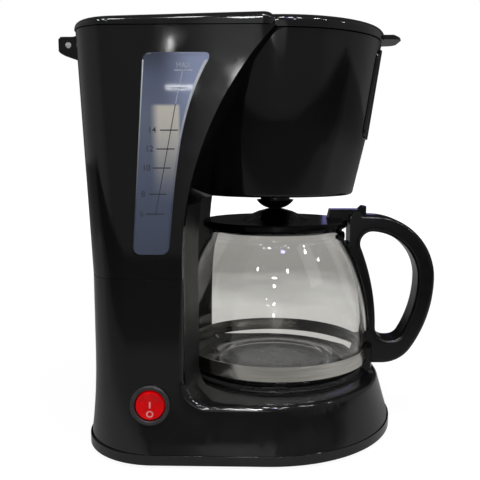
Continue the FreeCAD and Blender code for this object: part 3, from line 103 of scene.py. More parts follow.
def start_material(name, **sockets):
    """A material with one Principled shader and Object coordinates."""
    material = bpy.data.materials.new(name)
    material.use_nodes = True
    tree = material.node_tree
    tree.nodes.clear()
    shader = add(tree, "ShaderNodeBsdfPrincipled", sockets)
    add(tree, "ShaderNodeOutputMaterial", links={"Surface": (shader, "BSDF")})
    place = add(tree, "ShaderNodeTexCoord")
    return material, tree, shader, place


def grain(tree, place, size_mm, detail=3.0, stretch=(1.0, 1.0, 1.0)):
    """Noise whose blotches are about size_mm across, stretched along the axes with small numbers."""
    mapping = add(tree, "ShaderNodeMapping", {"Scale": stretch}, {"Vector": (place, "Object")})
    values = {"Scale": 1 / (size_mm * MM), "Detail": detail}
    return add(tree, "ShaderNodeTexNoise", values, {"Vector": (mapping, "Vector")})


def recolour(ramp, stops):
    """Give a colour ramp these (position, hex) stops; its own two ends become the first and last."""
    elements = ramp.color_ramp.elements
    for end in (0, -1):
        elements[end].position = stops[end][0]
        elements[end].color = linear(stops[end][1])
    for position, code in stops[1:-1]:
        elements.new(position).color = linear(code)


def colour_by(tree, shader, source, stops):
    """Colour the surface by a value, through a ramp of (position, hex) stops."""
    ramp = add(tree, "ShaderNodeValToRGB", links={"Fac": (source, 0)})
    recolour(ramp, stops)
    tree.links.new(ramp.outputs["Color"], shader.inputs["Base Color"])


def tint(tree, shader, source, dark, light):
    """Blend two colours by a texture's value."""
    colour_by(tree, shader, source, ((NOISE_LOW, dark), (NOISE_HIGH, light)))


def between(tree, source, low, high):
    """A noise texture's value, brought between two limits."""
    limits = {"From Min": NOISE_LOW, "From Max": NOISE_HIGH, "To Min": low, "To Max": high}
    return add(tree, "ShaderNodeMapRange", limits, {"Value": (source, 0)})


def spread(tree, shader, source, low, high):
    """Let a noise texture move the roughness between two limits."""
    span = between(tree, source, low, high)
    tree.links.new(span.outputs["Result"], shader.inputs["Roughness"])


def relief(tree, shader, source, height_mm, strength=1.0):
    """Raise the surface by a texture, height_mm from its lows to its highs."""
    values = {"Strength": strength, "Distance": height_mm * MM}
    bump = add(tree, "ShaderNodeBump", values, {"Height": (source, 0)})
    tree.links.new(bump.outputs["Normal"], shader.inputs["Normal"])


def product(tree, parts):
    """The parts' values multiplied together."""
    total = parts[0]
    for part in parts[1:]:
        total = add(tree, "ShaderNodeMath", None, {0: (total, 0), 1: (part, 0)}, operation="MULTIPLY")
    return total


def soft_field(tree, axes, across, up):
    """A soft-edged field in X and Z; each span is (start, full, full, end) along its axis."""
    sides = []
    for axis, (start, rise, fall, end) in (("X", across), ("Z", up)):
        for low, high in ((start, rise), (end, fall)):
            sides.append(add(tree, "ShaderNodeMapRange", {"From Min": low, "From Max": high},
                             {"Value": (axes, axis)}, interpolation_type="SMOOTHSTEP"))
    return product(tree, sides)


# Materials


# The textured bay round the jug: its bounds in mm as (outer edge, where it is full), and its added roughness
BAY_REACH = (92, 88)
BAY_HALF_WIDTH = (75, 74)
BAY_ROOF = (152, 149)
BAY_DECK = (42, 48)
BAY_ROUGHER = 0.36


def moulded_polypropylene():
    """Black polypropylene from a polished tool: deep gloss with a faint ripple, textured inside the bay."""
    material, tree, shader, place = start_material("moulded_polypropylene_gloss_black", IOR=1.49)
    tint(tree, shader, grain(tree, place, 45), "#0e0e0f", "#131314")
    axes = add(tree, "ShaderNodeSeparateXYZ", links={"Vector": (place, "Object")})
    level = add(tree, "ShaderNodeCombineXYZ", None, {"X": (axes, "X"), "Y": (axes, "Y")})
    away = add(tree, "ShaderNodeVectorMath", {1: (BREW_X, 0, 0)}, {0: (level, "Vector")},
               operation="DISTANCE")
    aside = add(tree, "ShaderNodeMath", None, {0: (axes, "Y")}, operation="ABSOLUTE")
    parts = []
    for source, output, (end, full) in ((away, "Value", BAY_REACH), (aside, "Value", BAY_HALF_WIDTH),
                                        (axes, "Z", BAY_ROOF), (axes, "Z", BAY_DECK)):
        limits = {"From Min": end * MM, "From Max": full * MM}
        parts.append(add(tree, "ShaderNodeMapRange", limits, {"Value": (source, output)}))
    bay = product(tree, parts)
    skin = between(tree, grain(tree, place, 9, 5), 0.05, 0.11)
    rough = add(tree, "ShaderNodeMath", {1: BAY_ROUGHER}, {0: (bay, 0), 2: (skin, 0)},
                operation="MULTIPLY_ADD")
    tree.links.new(rough.outputs["Value"], shader.inputs["Roughness"])
    relief(tree, shader, grain(tree, place, 14, 1), 0.05, 0.25)
    return material


def moulded_lid_satin():
    """Black polypropylene of the jug's lid: finely textured, so it throws back less of the room."""
    material, tree, shader, place = start_material("moulded_polypropylene_satin_black", IOR=1.49)
    shader.inputs["Specular IOR Level"].default_value = 0.2
    tint(tree, shader, grain(tree, place, 20), "#050506", "#080809")
    spread(tree, shader, grain(tree, place, 4, 4), 0.10, 0.18)
    return material


def moulded_nylon():
    """Dark grey nylon of the switch's bezel: a dull moulded face."""
    material, tree, shader, place = start_material("moulded_nylon_dark_grey", IOR=1.53)
    tint(tree, shader, grain(tree, place, 6, 4), "#2b292c", "#383639")
    spread(tree, shader, grain(tree, place, 3, 4), 0.28, 0.40)
    return material


def moulded_abs_satin():
    """Black ABS from a spark-eroded tool: an even satin with a grain drawn a little coarse to show."""
    material, tree, shader, place = start_material("moulded_abs_satin_black", IOR=1.53)
    shader.inputs["Specular IOR Level"].default_value = 0.35
    tint(tree, shader, grain(tree, place, 20), "#060607", "#09090b")
    spread(tree, shader, grain(tree, place, 5, 4), 0.12, 0.24)
    relief(tree, shader, grain(tree, place, 0.5, 2), 0.02, 0.3)
    return material


# The pale outlet inside the tank shows through GLOW, and the gauge's upper front gets a painted highlight
# through the SHEEN field
GLOW_X = [along_brew(x) for x in (-71, -65, -55.5, -53.5)]
GLOW_Z = [z * MM for z in (150, 204, 204.5, 206.5)]
PAINTED_SHEEN_X = [along_brew(x) for x in (-66, -46, -30, -20)]
PAINTED_SHEEN_Z = [z * MM for z in (165, 214, 229, 240)]
GAUGE_BLUES = ((0.0, "#515b71"), (0.35, "#636d87"), (0.7, "#7b849b"), (0.88, "#6a7390"), (1.0, "#4a4f63"))


def up_gauge(tree, axes):
    """How far up the gauge a point lies, from 0 to 1."""
    return add(tree, "ShaderNodeMapRange", {"From Min": gauge_low.z, "From Max": gauge_high.z},
               {"Value": (axes, "Z")})


def tinted_gauge():
    """Blue-grey clear styrene in front of a pale tank: smooth gloss, lighter towards the top, with a painted
    highlight on the upper front.
    """
    material, tree, shader, place = start_material("clear_styrene_blue_tint", IOR=1.59, Roughness=0.04)
    axes = add(tree, "ShaderNodeSeparateXYZ", links={"Vector": (place, "Object")})
    ramp = add(tree, "ShaderNodeValToRGB", links={"Fac": (up_gauge(tree, axes), "Result")})
    recolour(ramp, GAUGE_BLUES)
    # Painted highlight: the upper front is mixed towards a pale blue that stands in for a reflection of the
    # lamps
    sheen = soft_field(tree, axes, PAINTED_SHEEN_X, PAINTED_SHEEN_Z)
    lit = add(tree, "ShaderNodeMix", {7: linear("#a9b5da")}, {0: (sheen, "Value"), 6: (ramp, "Color")},
              data_type="RGBA")
    haze = soft_field(tree, axes, GLOW_X, GLOW_Z)
    pale = add(tree, "ShaderNodeMix", {7: linear("#f0ebe0")}, {0: (haze, "Value"), 6: (lit, 2)},
               data_type="RGBA")
    tree.links.new(pale.outputs[2], shader.inputs["Base Color"])
    relief(tree, shader, grain(tree, place, 18, 1), 0.05, 0.2)
    return material


def blown_glass():
    """Blown borosilicate: clear with a grey cast, and slow waves from the mould."""
    material, tree, shader, place = start_material("blown_borosilicate_glass", IOR=1.47, Roughness=0.0)
    shader.inputs["Transmission Weight"].default_value = 1.0
    shader.inputs["Base Color"].default_value = linear("#f0f0ee")
    relief(tree, shader, grain(tree, place, 30, 1), 0.15, 0.3)
    return material


def rolled_steel():
    """Rolled stainless strip: fine lines along its length, soft bright reflections."""
    material, tree, shader, place = start_material("rolled_stainless_strip", Metallic=1.0)
    lines = grain(tree, place, 1.2, 3, (0.05, 0.05, 1.0))
    tint(tree, shader, lines, "#bdbab2", "#dcd9d2")
    spread(tree, shader, lines, 0.16, 0.28)
    relief(tree, shader, lines, 0.01, 0.3)
    return material


def zinc_plate():
    """Zinc-plated steel: pale grey with a slight crystalline mottle."""
    material, tree, shader, place = start_material("zinc_plated_steel", Metallic=1.0)
    mottle = grain(tree, place, 2, 4)
    tint(tree, shader, mottle, "#a9abad", "#c6c7c6")
    spread(tree, shader, mottle, 0.25, 0.42)
    return material


def bare_aluminium():
    """Extruded aluminium: drawn lines and a soft grey shine."""
    material, tree, shader, place = start_material("extruded_aluminium", Metallic=1.0)
    lines = grain(tree, place, 1.5, 3, (0.08, 1.0, 1.0))
    tint(tree, shader, lines, "#b3b5b8", "#d0d1d2")
    spread(tree, shader, lines, 0.30, 0.45)
    return material


def tinned_brass():
    """Tinned brass blades: warm pale metal."""
    material, tree, shader, place = start_material("tinned_brass", Metallic=1.0)
    wear = grain(tree, place, 1.5, 4)
    tint(tree, shader, wear, "#b4a67c", "#cfc7ad")
    spread(tree, shader, wear, 0.22, 0.36)
    return material


def non_stick_coat():
    """Non-stick coat baked on steel: near black, low sheen with a fine speckle."""
    material, tree, shader, place = start_material("non_stick_coated_steel", IOR=1.45)
    speckle = grain(tree, place, 0.8, 2)
    tint(tree, shader, speckle, "#111112", "#1c1c1d")
    spread(tree, shader, grain(tree, place, 12, 3), 0.22, 0.36)
    relief(tree, shader, speckle, 0.02, 0.4)
    return material


def red_lamp_plastic():
    """Translucent red polycarbonate over the switch's lamp: saturated, smooth, a little light inside."""
    material, tree, shader, place = start_material("translucent_red_polycarbonate", IOR=1.58)
    shader.inputs["Subsurface Weight"].default_value = 0.15
    shader.inputs["Subsurface Radius"].default_value = (0.002, 0.0003, 0.0003)
    shader.inputs["Specular IOR Level"].default_value = 0.15
    shader.inputs["Emission Strength"].default_value = 0.25
    shader.inputs["Emission Color"].default_value = linear("#d80408")
    tint(tree, shader, grain(tree, place, 6, 2), "#c00208", "#dc0a10")
    spread(tree, shader, grain(tree, place, 4, 3), 0.16, 0.26)
    return material


def natural_polypropylene():
    """Natural polypropylene: milky, with a soft waxy sheen."""
    material, tree, shader, place = start_material("natural_polypropylene_milky", IOR=1.49)
    shader.inputs["Subsurface Weight"].default_value = 0.2
    shader.inputs["Subsurface Radius"].default_value = (0.004, 0.004, 0.003)
    tint(tree, shader, grain(tree, place, 25), "#d9d5c8", "#e6e3d9")
    spread(tree, shader, grain(tree, place, 6, 3), 0.32, 0.46)
    return material


def silicone_rubber():
    """Soft silicone: milky grey, matt, slightly dusty."""
    material, tree, shader, place = start_material("silicone_rubber_milky", IOR=1.41)
    tint(tree, shader, grain(tree, place, 5, 4), "#bdbab2", "#cdcac3")
    spread(tree, shader, grain(tree, place, 3, 3), 0.45, 0.6)
    return material


def black_silicone():
    """Black silicone ring round the hotplate: matt and slightly grey."""
    material, tree, shader, place = start_material("silicone_rubber_black", IOR=1.41)
    tint(tree, shader, grain(tree, place, 5, 4), "#161617", "#202021")
    spread(tree, shader, grain(tree, place, 3, 3), 0.35, 0.5)
    return material


def soft_rubber():
    """Moulded black rubber: matt with a dusty bloom."""
    material, tree, shader, place = start_material("moulded_rubber_black", IOR=1.5)
    bloom = grain(tree, place, 3, 4)
    tint(tree, shader, bloom, "#151515", "#232322")
    spread(tree, shader, bloom, 0.6, 0.8)
    return material


def nylon_mesh():
    """Fine nylon gauze in the filter: a square weave drawn at 1.2 mm so that it shows."""
    material, tree, shader, place = start_material("woven_nylon_gauze", IOR=1.53, Roughness=0.5)
    pitch = 1.2 * MM
    # A wave texture has 20 / tau waves to a unit at a scale of 1
    scale = math.tau / (20 * pitch)
    threads = []
    for axis in ("X", "Y"):
        threads.append(add(tree, "ShaderNodeTexWave", {"Scale": scale}, {"Vector": (place, "Object")},
                           bands_direction=axis))
    weave = add(tree, "ShaderNodeMath", None, {0: (threads[0], "Fac"), 1: (threads[1], "Fac")},
                operation="MAXIMUM")
    tint(tree, shader, weave, "#5a4a2c", "#b49a63")
    relief(tree, shader, weave, 0.2, 0.6)
    return material


def white_print():
    """White pad-printed ink on the gauge, thin and slightly worn."""
    material, tree, shader, place = start_material("pad_print_white", IOR=1.5, Roughness=0.45)
    tint(tree, shader, grain(tree, place, 1.5, 3), "#aab5cd", "#d6deec")
    return material


def dark_print():
    """Dark pad-printed ink on the gauge."""
    material, tree, shader, place = start_material("pad_print_dark", IOR=1.5, Roughness=0.45)
    tint(tree, shader, grain(tree, place, 1.5, 3), "#1f2430", "#363d4e")
    return material


def pink_print():
    """White ink over red plastic, tinted by it."""
    material, tree, shader, place = start_material("pad_print_on_red", IOR=1.5, Roughness=0.4)
    tint(tree, shader, grain(tree, place, 0.8, 3), "#f08a90", "#ffb4b6")
    return material


def painted_edge_highlight():
    """A painted highlight on the gauge's ground edges, paler towards the top."""
    material, tree, shader, place = start_material("clear_styrene_painted_highlight", IOR=1.59, Roughness=0.12)
    axes = add(tree, "ShaderNodeSeparateXYZ", links={"Vector": (place, "Object")})
    colour_by(tree, shader, up_gauge(tree, axes), ((0.25, "#525b70"), (0.85, "#e4e8f2")))
    return material


# Meshes


# Points closer than MERGE_MM are one, and shading breaks at edges sharper than CREASE degrees
MERGE_MM = 0.002
CREASE = 32
# Pieces rounded a little further than in the CAD: the bevel's width in mm, and how sharp an edge it takes
EDGE_ROUNDING = {"carafe_lid": 1.0, "base_plate": 0.9, "switch_body": 0.4}
WORN_EDGE_ANGLE = 40


def keep(obj, body):
    """A finished piece rides on its body."""
    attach(obj, body)
    return obj


def new_object(name, mesh, material):
    """A mesh as an object at the origin, with one material."""
    mesh.materials.clear()
    mesh.materials.append(material)
    obj = bpy.data.objects.new(name, mesh)
    bpy.context.scene.collection.objects.link(obj)
    return obj


def settle(bm, name, merge_mm=MERGE_MM, crease=CREASE):
    """A closed mesh from loose geometry: doubles merged, faces outwards, hard edges kept sharp."""
    bmesh.ops.remove_doubles(bm, verts=bm.verts, dist=merge_mm * MM)
    bmesh.ops.recalc_face_normals(bm, faces=bm.faces)
    return shade(bm, name, crease)


def shade(bm, name, crease):
    """Smooth shading that breaks at edges sharper than crease degrees."""
    limit = math.radians(crease)
    for face in bm.faces:
        face.smooth = True
    for edge in bm.edges:
        edge.smooth = len(edge.link_faces) == 2 and edge.calc_face_angle(0) < limit
    mesh = bpy.data.meshes.new(name)
    bm.to_mesh(mesh)
    bm.free()
    return mesh


def polished(node, material):
    """The CAD node's own shape, merged and smoothly shaded: flat faces stay flat, a few edges are rounded."""
    bm = bmesh.new()
    bm.from_mesh(nodes[node].data)
    bmesh.ops.remove_doubles(bm, verts=bm.verts, dist=MERGE_MM * MM)
    rounding = EDGE_ROUNDING.get(node)
    if rounding:
        bmesh.ops.dissolve_limit(bm, angle_limit=math.radians(1), verts=bm.verts, edges=bm.edges)
    obj = new_object(node + "_finish", shade(bm, node + "_finish", CREASE), material)
    if rounding:
        round_edges(obj, rounding, segments=3, angle=WORN_EDGE_ANGLE)
    weigh = obj.modifiers.new("flat_faces", "WEIGHTED_NORMAL")
    weigh.keep_sharp = True
    weigh.weight = 100
    freeze(obj)
    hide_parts(node)
    if node == "drip_spring":
        return pressed(obj)
    return keep(obj, body_of_node[node])


def round_edges(obj, width_mm, segments, angle):
    """A bevel on the edges sharper than angle degrees."""
    bevel = obj.modifiers.new("worn_edges", "BEVEL")
    bevel.width = width_mm * MM
    bevel.segments = segments
    bevel.limit_method = "ANGLE"
    bevel.angle_limit = math.radians(angle)


def pressed(obj):
    """The drip spring: its placement is put into its mesh, and it rides on no body."""
    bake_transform(obj)
    return obj


def freeze(obj):
    """Turn an object's modifiers into a plain mesh."""
    graph = bpy.context.evaluated_depsgraph_get()
    mesh = bpy.data.meshes.new_from_object(obj.evaluated_get(graph), depsgraph=graph)
    mesh.name = obj.name
    obj.modifiers.clear()
    obj.data = mesh


def turned(name, outline, material, segments, crease):
    """A closed outline of (radius, height) in mm, turned about the brew axis."""
    bm = bmesh.new()
    rings = []
    for i in range(segments):
        angle = math.tau * i / segments
        ring = []
        for r, z in outline:
            ring.append(bm.verts.new((BREW_X + r * MM * math.cos(angle), r * MM * math.sin(angle), z * MM)))
        rings.append(ring)
    count = len(outline)
    for i in range(segments):
        near, far = rings[i], rings[(i + 1) % segments]
        for k in range(count):
            corners = [near[k], far[k], far[(k + 1) % count], near[(k + 1) % count]]
            bm.faces.new(corners)
    return new_object(name, settle(bm, name, merge_mm=0.001, crease=crease), material)


def lettering(name, text, height_mm, centre, material, bold_mm, thick_mm=0.06, turn=None):
    """Generic figures or signs as thin ink: on a face that looks along -Y, or turned to another."""
    curve = bpy.data.curves.new(name, "FONT")
    curve.body = text
    curve.size = height_mm * MM
    curve.align_x = "CENTER"
    curve.align_y = "CENTER"
    curve.extrude = thick_mm * MM / 2
    curve.offset = bold_mm * MM
    source = bpy.data.objects.new(name, curve)
    bpy.context.scene.collection.objects.link(source)
    graph = bpy.context.evaluated_depsgraph_get()
    mesh = bpy.data.meshes.new_from_object(source.evaluated_get(graph), depsgraph=graph)
    bpy.data.objects.remove(source)
    stand = turn or Euler((math.radians(90), 0, 0)).to_matrix().to_4x4()
    mesh.transform(Matrix.Translation(centre) @ stand)
    return new_object(name, mesh, material)


# Water gauge


# Sizes in mm, with X from the brew axis: the plate's edges at the bottom, and how far they lean to the top
GAUGE_REAR = -81.5
GAUGE_REAR_LEAN = 7.5
GAUGE_FRONT = -61.4
GAUGE_FRONT_LEAN = 25.1
# The front edge leans evenly for this share, and sweeps out near the top for the rest
GAUGE_EVEN_SHARE = 0.42
GAUGE_SWEEP_POWER = 4
GAUGE_CORNER = 4.2
GAUGE_THICK = 2.0
GAUGE_BEVEL = 0.5
# Heights of the front edge's points: the first above the bottom, then one every step
PLATE_FIRST = 7
PLATE_STEP = 4
PLATE_STEPS = 25
# The painted highlight beads along the gauge's edges: their ends, where they start to thicken, and how far
# they stand proud
BEAD_LOW = 127.0
BEAD_HIGH = 229.5
BEAD_SWELL = 180.0
BEAD_PROUD = 0.25
# The printed bars and figures, each by its middle (X from the brew axis, Z)
TICK_LENGTH = 10
TICK_HEIGHT = 0.65
TICK_DEPTH = 0.12
WHITE_TICKS = ((-52.0, 224.0), (-54.5, 214.6))
DARK_TICKS = ((-60.2, 192.0), (-62.3, 181.8), (-64.5, 171.4), (-67.0, 157.0), (-68.5, 146.0))
FIGURES = {"14": (-69.5, 192.0), "12": (-71.2, 181.8), "10": (-73.0, 171.4), "8": (-75.0, 157.0),
           "6": (-76.0, 146.0)}
FIGURE_HEIGHT = 4.6
MAX_PLACE = (-52.0, 226.6)
MAX_HEIGHT = 3.8
FIGURE_BOLD = 0.02
SCALE_TOP = (-52.4, 224.0)
SCALE_BREAK = (-56.5, 206.0)
SCALE_FOOT = (-68.2, 146.0)
SCALE_WIDTH = 0.45


def tick_tree(material):
    """Geometry nodes: one printed bar on each point."""
    tree = bpy.data.node_groups.new("printed_ticks", "GeometryNodeTree")
    tree.interface.new_socket("Geometry", in_out="INPUT", socket_type="NodeSocketGeometry")
    for name, value in (("Length", TICK_LENGTH), ("Depth", TICK_DEPTH), ("Height", TICK_HEIGHT)):
        socket = tree.interface.new_socket(name, in_out="INPUT", socket_type="NodeSocketFloat")
        socket.default_value = value * MM
    tree.interface.new_socket("Geometry", in_out="OUTPUT", socket_type="NodeSocketGeometry")
    start = add(tree, "NodeGroupInput")
    sides = {"X": (start, "Length"), "Y": (start, "Depth"), "Z": (start, "Height")}
    bar_size = add(tree, "ShaderNodeCombineXYZ", None, sides)
    bar = add(tree, "GeometryNodeMeshCube", None, {"Size": (bar_size, "Vector")})
    placed = add(tree, "GeometryNodeInstanceOnPoints", None,
                 {"Points": (start, "Geometry"), "Instance": (bar, "Mesh")})
    real = add(tree, "GeometryNodeRealizeInstances", None, {"Geometry": (placed, "Instances")})
    inked = add(tree, "GeometryNodeSetMaterial", {"Material": material}, {"Geometry": (real, "Geometry")})
    add(tree, "NodeGroupOutput", None, {"Geometry": (inked, "Geometry")})
    return tree


def tick_marks(name, places, material):
    """Level marks on the gauge, a bar on each place."""
    mesh = bpy.data.meshes.new(name)
    mesh.from_pydata([(along_brew(x), GAUGE_FACE, z * MM) for x, z in places], [], [])
    obj = new_object(name, mesh, material)
    obj.modifiers.new("ticks", "NODES").node_group = tick_tree(material)
    freeze(obj)
    obj.data.materials.clear()
    obj.data.materials.append(material)
    return keep(obj, "machine")


def ink_line(name, start, end, width, material):
    """A straight printed line between two (x, z) places on the gauge."""
    bm = bmesh.new()
    bmesh.ops.create_cube(bm, size=1.0)
    a = Vector((along_brew(start[0]), 0, start[1] * MM))
    b = Vector((along_brew(end[0]), 0, end[1] * MM))
    way = b - a
    turn = Matrix.Rotation(-math.atan2(way.z, way.x), 4, "Y")
    size = Matrix.Diagonal((way.length, TICK_DEPTH * MM, width * MM, 1.0))
    bm.transform(Matrix.Translation((a + b) / 2 + Vector((0, GAUGE_FACE, 0))) @ turn @ size)
    return keep(new_object(name, settle(bm, name), material), "machine")


def highlight_bead(name, edge_at, thin, thick, material):
    """A painted highlight along a ground edge of the gauge: a bead along the X that edge_at gives, thickest
    at the top.
    """
    steps = 40
    sides = 8
    bm = bmesh.new()
    rings = []
    for i in range(steps + 1):
        z = BEAD_LOW + (BEAD_HIGH - BEAD_LOW) * i / steps
        bead = thin + (thick - thin) * max(0.0, (z - BEAD_SWELL) / (BEAD_HIGH - BEAD_SWELL))
        x = edge_at(z)
        ring = []
        for k in range(sides):
            angle = math.tau * k / sides
            ring.append(bm.verts.new((along_brew(x + bead * math.cos(angle)),
                                      GAUGE_FACE + BEAD_PROUD * MM * math.sin(angle), z * MM)))
        rings.append(ring)
    for near, far in zip(rings, rings[1:]):
        for k in range(sides):
            bm.faces.new((near[k], near[(k + 1) % sides], far[(k + 1) % sides], far[k]))
    bm.faces.new(rings[0])
    bm.faces.new(rings[-1])
    return keep(new_object(name, settle(bm, name), material), "machine")


def gauge_rise(z):
    """How far a height lies up the gauge, from 0 at its bottom to 1 at its top."""
    return (z - GAUGE_BOTTOM) / (GAUGE_TOP - GAUGE_BOTTOM)


def gauge_rear_edge(z):
    """X of the gauge's straight rear edge at a height."""
    return GAUGE_REAR + GAUGE_REAR_LEAN * gauge_rise(z)


def gauge_front_edge(z):
    """X of the gauge's swept front edge at a height."""
    rise = gauge_rise(z)
    sweep = GAUGE_EVEN_SHARE * rise + (1 - GAUGE_EVEN_SHARE) * rise ** GAUGE_SWEEP_POWER
    return GAUGE_FRONT + GAUGE_FRONT_LEAN * sweep


def gauge_plate(material):
    """The window plate: a straight rear edge, a swept front edge and rounded corners, bevelled all round."""
    between_corners = [GAUGE_BOTTOM + PLATE_FIRST + PLATE_STEP * i for i in range(PLATE_STEPS)]
    heights = [GAUGE_BOTTOM] + between_corners + [GAUGE_TOP]
    outline = [(gauge_front_edge(z), z) for z in heights]
    outline += [(gauge_rear_edge(GAUGE_TOP), GAUGE_TOP), (gauge_rear_edge(GAUGE_BOTTOM), GAUGE_BOTTOM)]
    bm = bmesh.new()
    rim = [bm.verts.new((along_brew(x), GAUGE_FACE, z * MM)) for x, z in outline]
    bm.faces.new(rim)
    corners = [rim[0], rim[len(heights) - 1], rim[-2], rim[-1]]
    bmesh.ops.bevel(bm, geom=corners, offset=GAUGE_CORNER * MM, segments=6, profile=0.5,
                    affect="VERTICES")
    sheet = bmesh.ops.extrude_face_region(bm, geom=bm.faces[:])
    back = [v for v in sheet["geom"] if isinstance(v, bmesh.types.BMVert)]
    bmesh.ops.translate(bm, verts=back, vec=(0, GAUGE_THICK * MM, 0))
    obj = new_object("water_gauge_finish", settle(bm, "water_gauge_finish"), material)
    round_edges(obj, GAUGE_BEVEL, segments=2, angle=60)
    freeze(obj)
    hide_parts("water_gauge")
    return keep(obj, "machine")


def gauge_marks():
    """Everything printed on the gauge: level bars, figures, and the slanted scale line."""
    white, dark = white_print(), dark_print()
    tick_marks("gauge_ticks_upper", WHITE_TICKS, white)
    tick_marks("gauge_ticks_lower", DARK_TICKS, dark)
    ink_line("gauge_scale_upper", SCALE_TOP, SCALE_BREAK, SCALE_WIDTH, white)
    ink_line("gauge_scale_lower", SCALE_BREAK, SCALE_FOOT, SCALE_WIDTH, dark)
    for text, (x, z) in FIGURES.items():
        centre = Vector((along_brew(x), GAUGE_FACE, z * MM))
        figure = lettering("gauge_figure_" + text, text, FIGURE_HEIGHT, centre, dark, FIGURE_BOLD)
        keep(figure, "machine")
    top = Vector((along_brew(MAX_PLACE[0]), GAUGE_FACE, MAX_PLACE[1] * MM))
    figure = lettering("gauge_figure_max", "MAX", MAX_HEIGHT, top, white, FIGURE_BOLD)
    keep(figure, "machine")
    # Painted highlights: beads along the gauge's front and rear ground edges, paler towards the top
    edge = painted_edge_highlight()
    highlight_bead("gauge_painted_highlight_front", lambda z: gauge_front_edge(z) - 0.7, thin=0.35, thick=1.0, material=edge)
    highlight_bead("gauge_painted_highlight_rear", lambda z: gauge_rear_edge(z) + 0.4, thin=0.3, thick=0.4, material=edge)


# Switch signs


# In mm: the side flares out by FLARE_OUT over FLARE_HEIGHT, and the switch sits SWITCH_DROP below its start
FLARE_OUT = 6.2
FLARE_HEIGHT = 54
SWITCH_DROP = 26
# The side's Y at the switch, the switch's height, and how far its signs stand out from the side
SWITCH_FACE = -77.437
SWITCH_HEIGHT = 36
SIGN_PROUD = 1.6
SIGN_THICK = 0.1


def switch_signs():
    """The I and O printed on the rocker, which ride with it."""
    ink = pink_print()
    low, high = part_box("switch_body")
    tilt = math.atan(2 * FLARE_OUT * SWITCH_DROP / FLARE_HEIGHT ** 2)
    out = Vector((0, -math.cos(tilt), math.sin(tilt)))
    up = Vector((0, math.sin(tilt), math.cos(tilt)))
    centre = Vector(((low.x + high.x) / 2, SWITCH_FACE * MM, SWITCH_HEIGHT * MM)) + out * SIGN_PROUD * MM
    turn = Matrix((Vector((1, 0, 0)), up, out)).transposed().to_4x4()
    bar = lettering("switch_sign_on", "I", 5.0, centre + up * 0.3 * MM, ink, 0.25, SIGN_THICK, turn)
    ring = lettering("switch_sign_off", "O", 5.2, centre - up * 5.1 * MM, ink, 0.15, SIGN_THICK, turn)
    keep(bar, "rocker")
    keep(ring, "rocker")


# Jug


# The blown glass in mm from the brew axis: its wall, and the round shoulder from the belly to the neck
JUG_WALL = 2.1
JUG_BELLY = 62.6
JUG_BELLY_Z = 64.0
JUG_NECK = 44.2
JUG_NECK_Z = 125.5
SHOULDER_STEPS = 26
# Its (radius, height) points: out over the foot and up to the belly, round the rolled rim, and down inside
JUG_FOOT = [(0.0, 40.6), (20.0, 40.3), (38.0, 39.4), (46.0, 38.4), (49.5, 38.05), (53.0, 38.2), (56.0, 39.2),
            (58.6, 41.0), (60.2, 43.0), (60.85, 45.0), (61.0, 47.0), (61.0, 52.0), (61.2, 55.0), (61.9, 58.5),
            (62.4, 61.2)]
JUG_RIM = [(44.2, 127.0), (44.2, 128.4), (44.4, 129.6), (44.8, 130.6), (45.2, 131.0), (45.35, 131.3),
           (45.1, 131.5), (44.2, 131.5), (43.4, 131.2), (42.7, 130.4), (42.3, 129.2), (42.1, 127.6),
           (42.1, 126.0)]
JUG_INSIDE = [(60.2, 60.5), (59.5, 57.0), (58.9, 53.5), (58.8, 48.0), (58.4, 45.6), (57.2, 43.4),
              (55.0, 41.9), (52.0, 41.1), (48.0, 41.0), (44.0, 41.4), (40.0, 42.1), (37.8, 43.0),
              (36.0, 43.2), (34.4, 42.7), (33.0, 42.3), (20.0, 42.9), (0.0, 43.2)]


def jug_shoulder(inset):
    """Points up the round shoulder, inset from the glass's outer face."""
    rise, drop = JUG_NECK_Z - JUG_BELLY_Z, JUG_BELLY - JUG_NECK
    radius = (rise ** 2 + drop ** 2) / (2 * drop)
    turn = math.asin(rise / radius)
    points = []
    for i in range(SHOULDER_STEPS + 1):
        angle = turn * i / SHOULDER_STEPS
        points.append((JUG_BELLY - radius + (radius - inset) * math.cos(angle),
                       JUG_BELLY_Z + (radius - inset) * math.sin(angle)))
    return points


def jug_outline():
    """Half section of the glass: foot ring, heel, belly, neck and rolled rim, then back down inside."""
    return JUG_FOOT + jug_shoulder(0.0) + JUG_RIM + jug_shoulder(JUG_WALL)[::-1] + JUG_INSIDE


def jug_glass(material):
    """The blown jug, turned in place of the CAD node."""
    obj = turned("carafe_glass_blown", jug_outline(), material, segments=180, crease=60)
    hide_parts("carafe_glass")
    return keep(obj, "carafe")


# Dress the machine


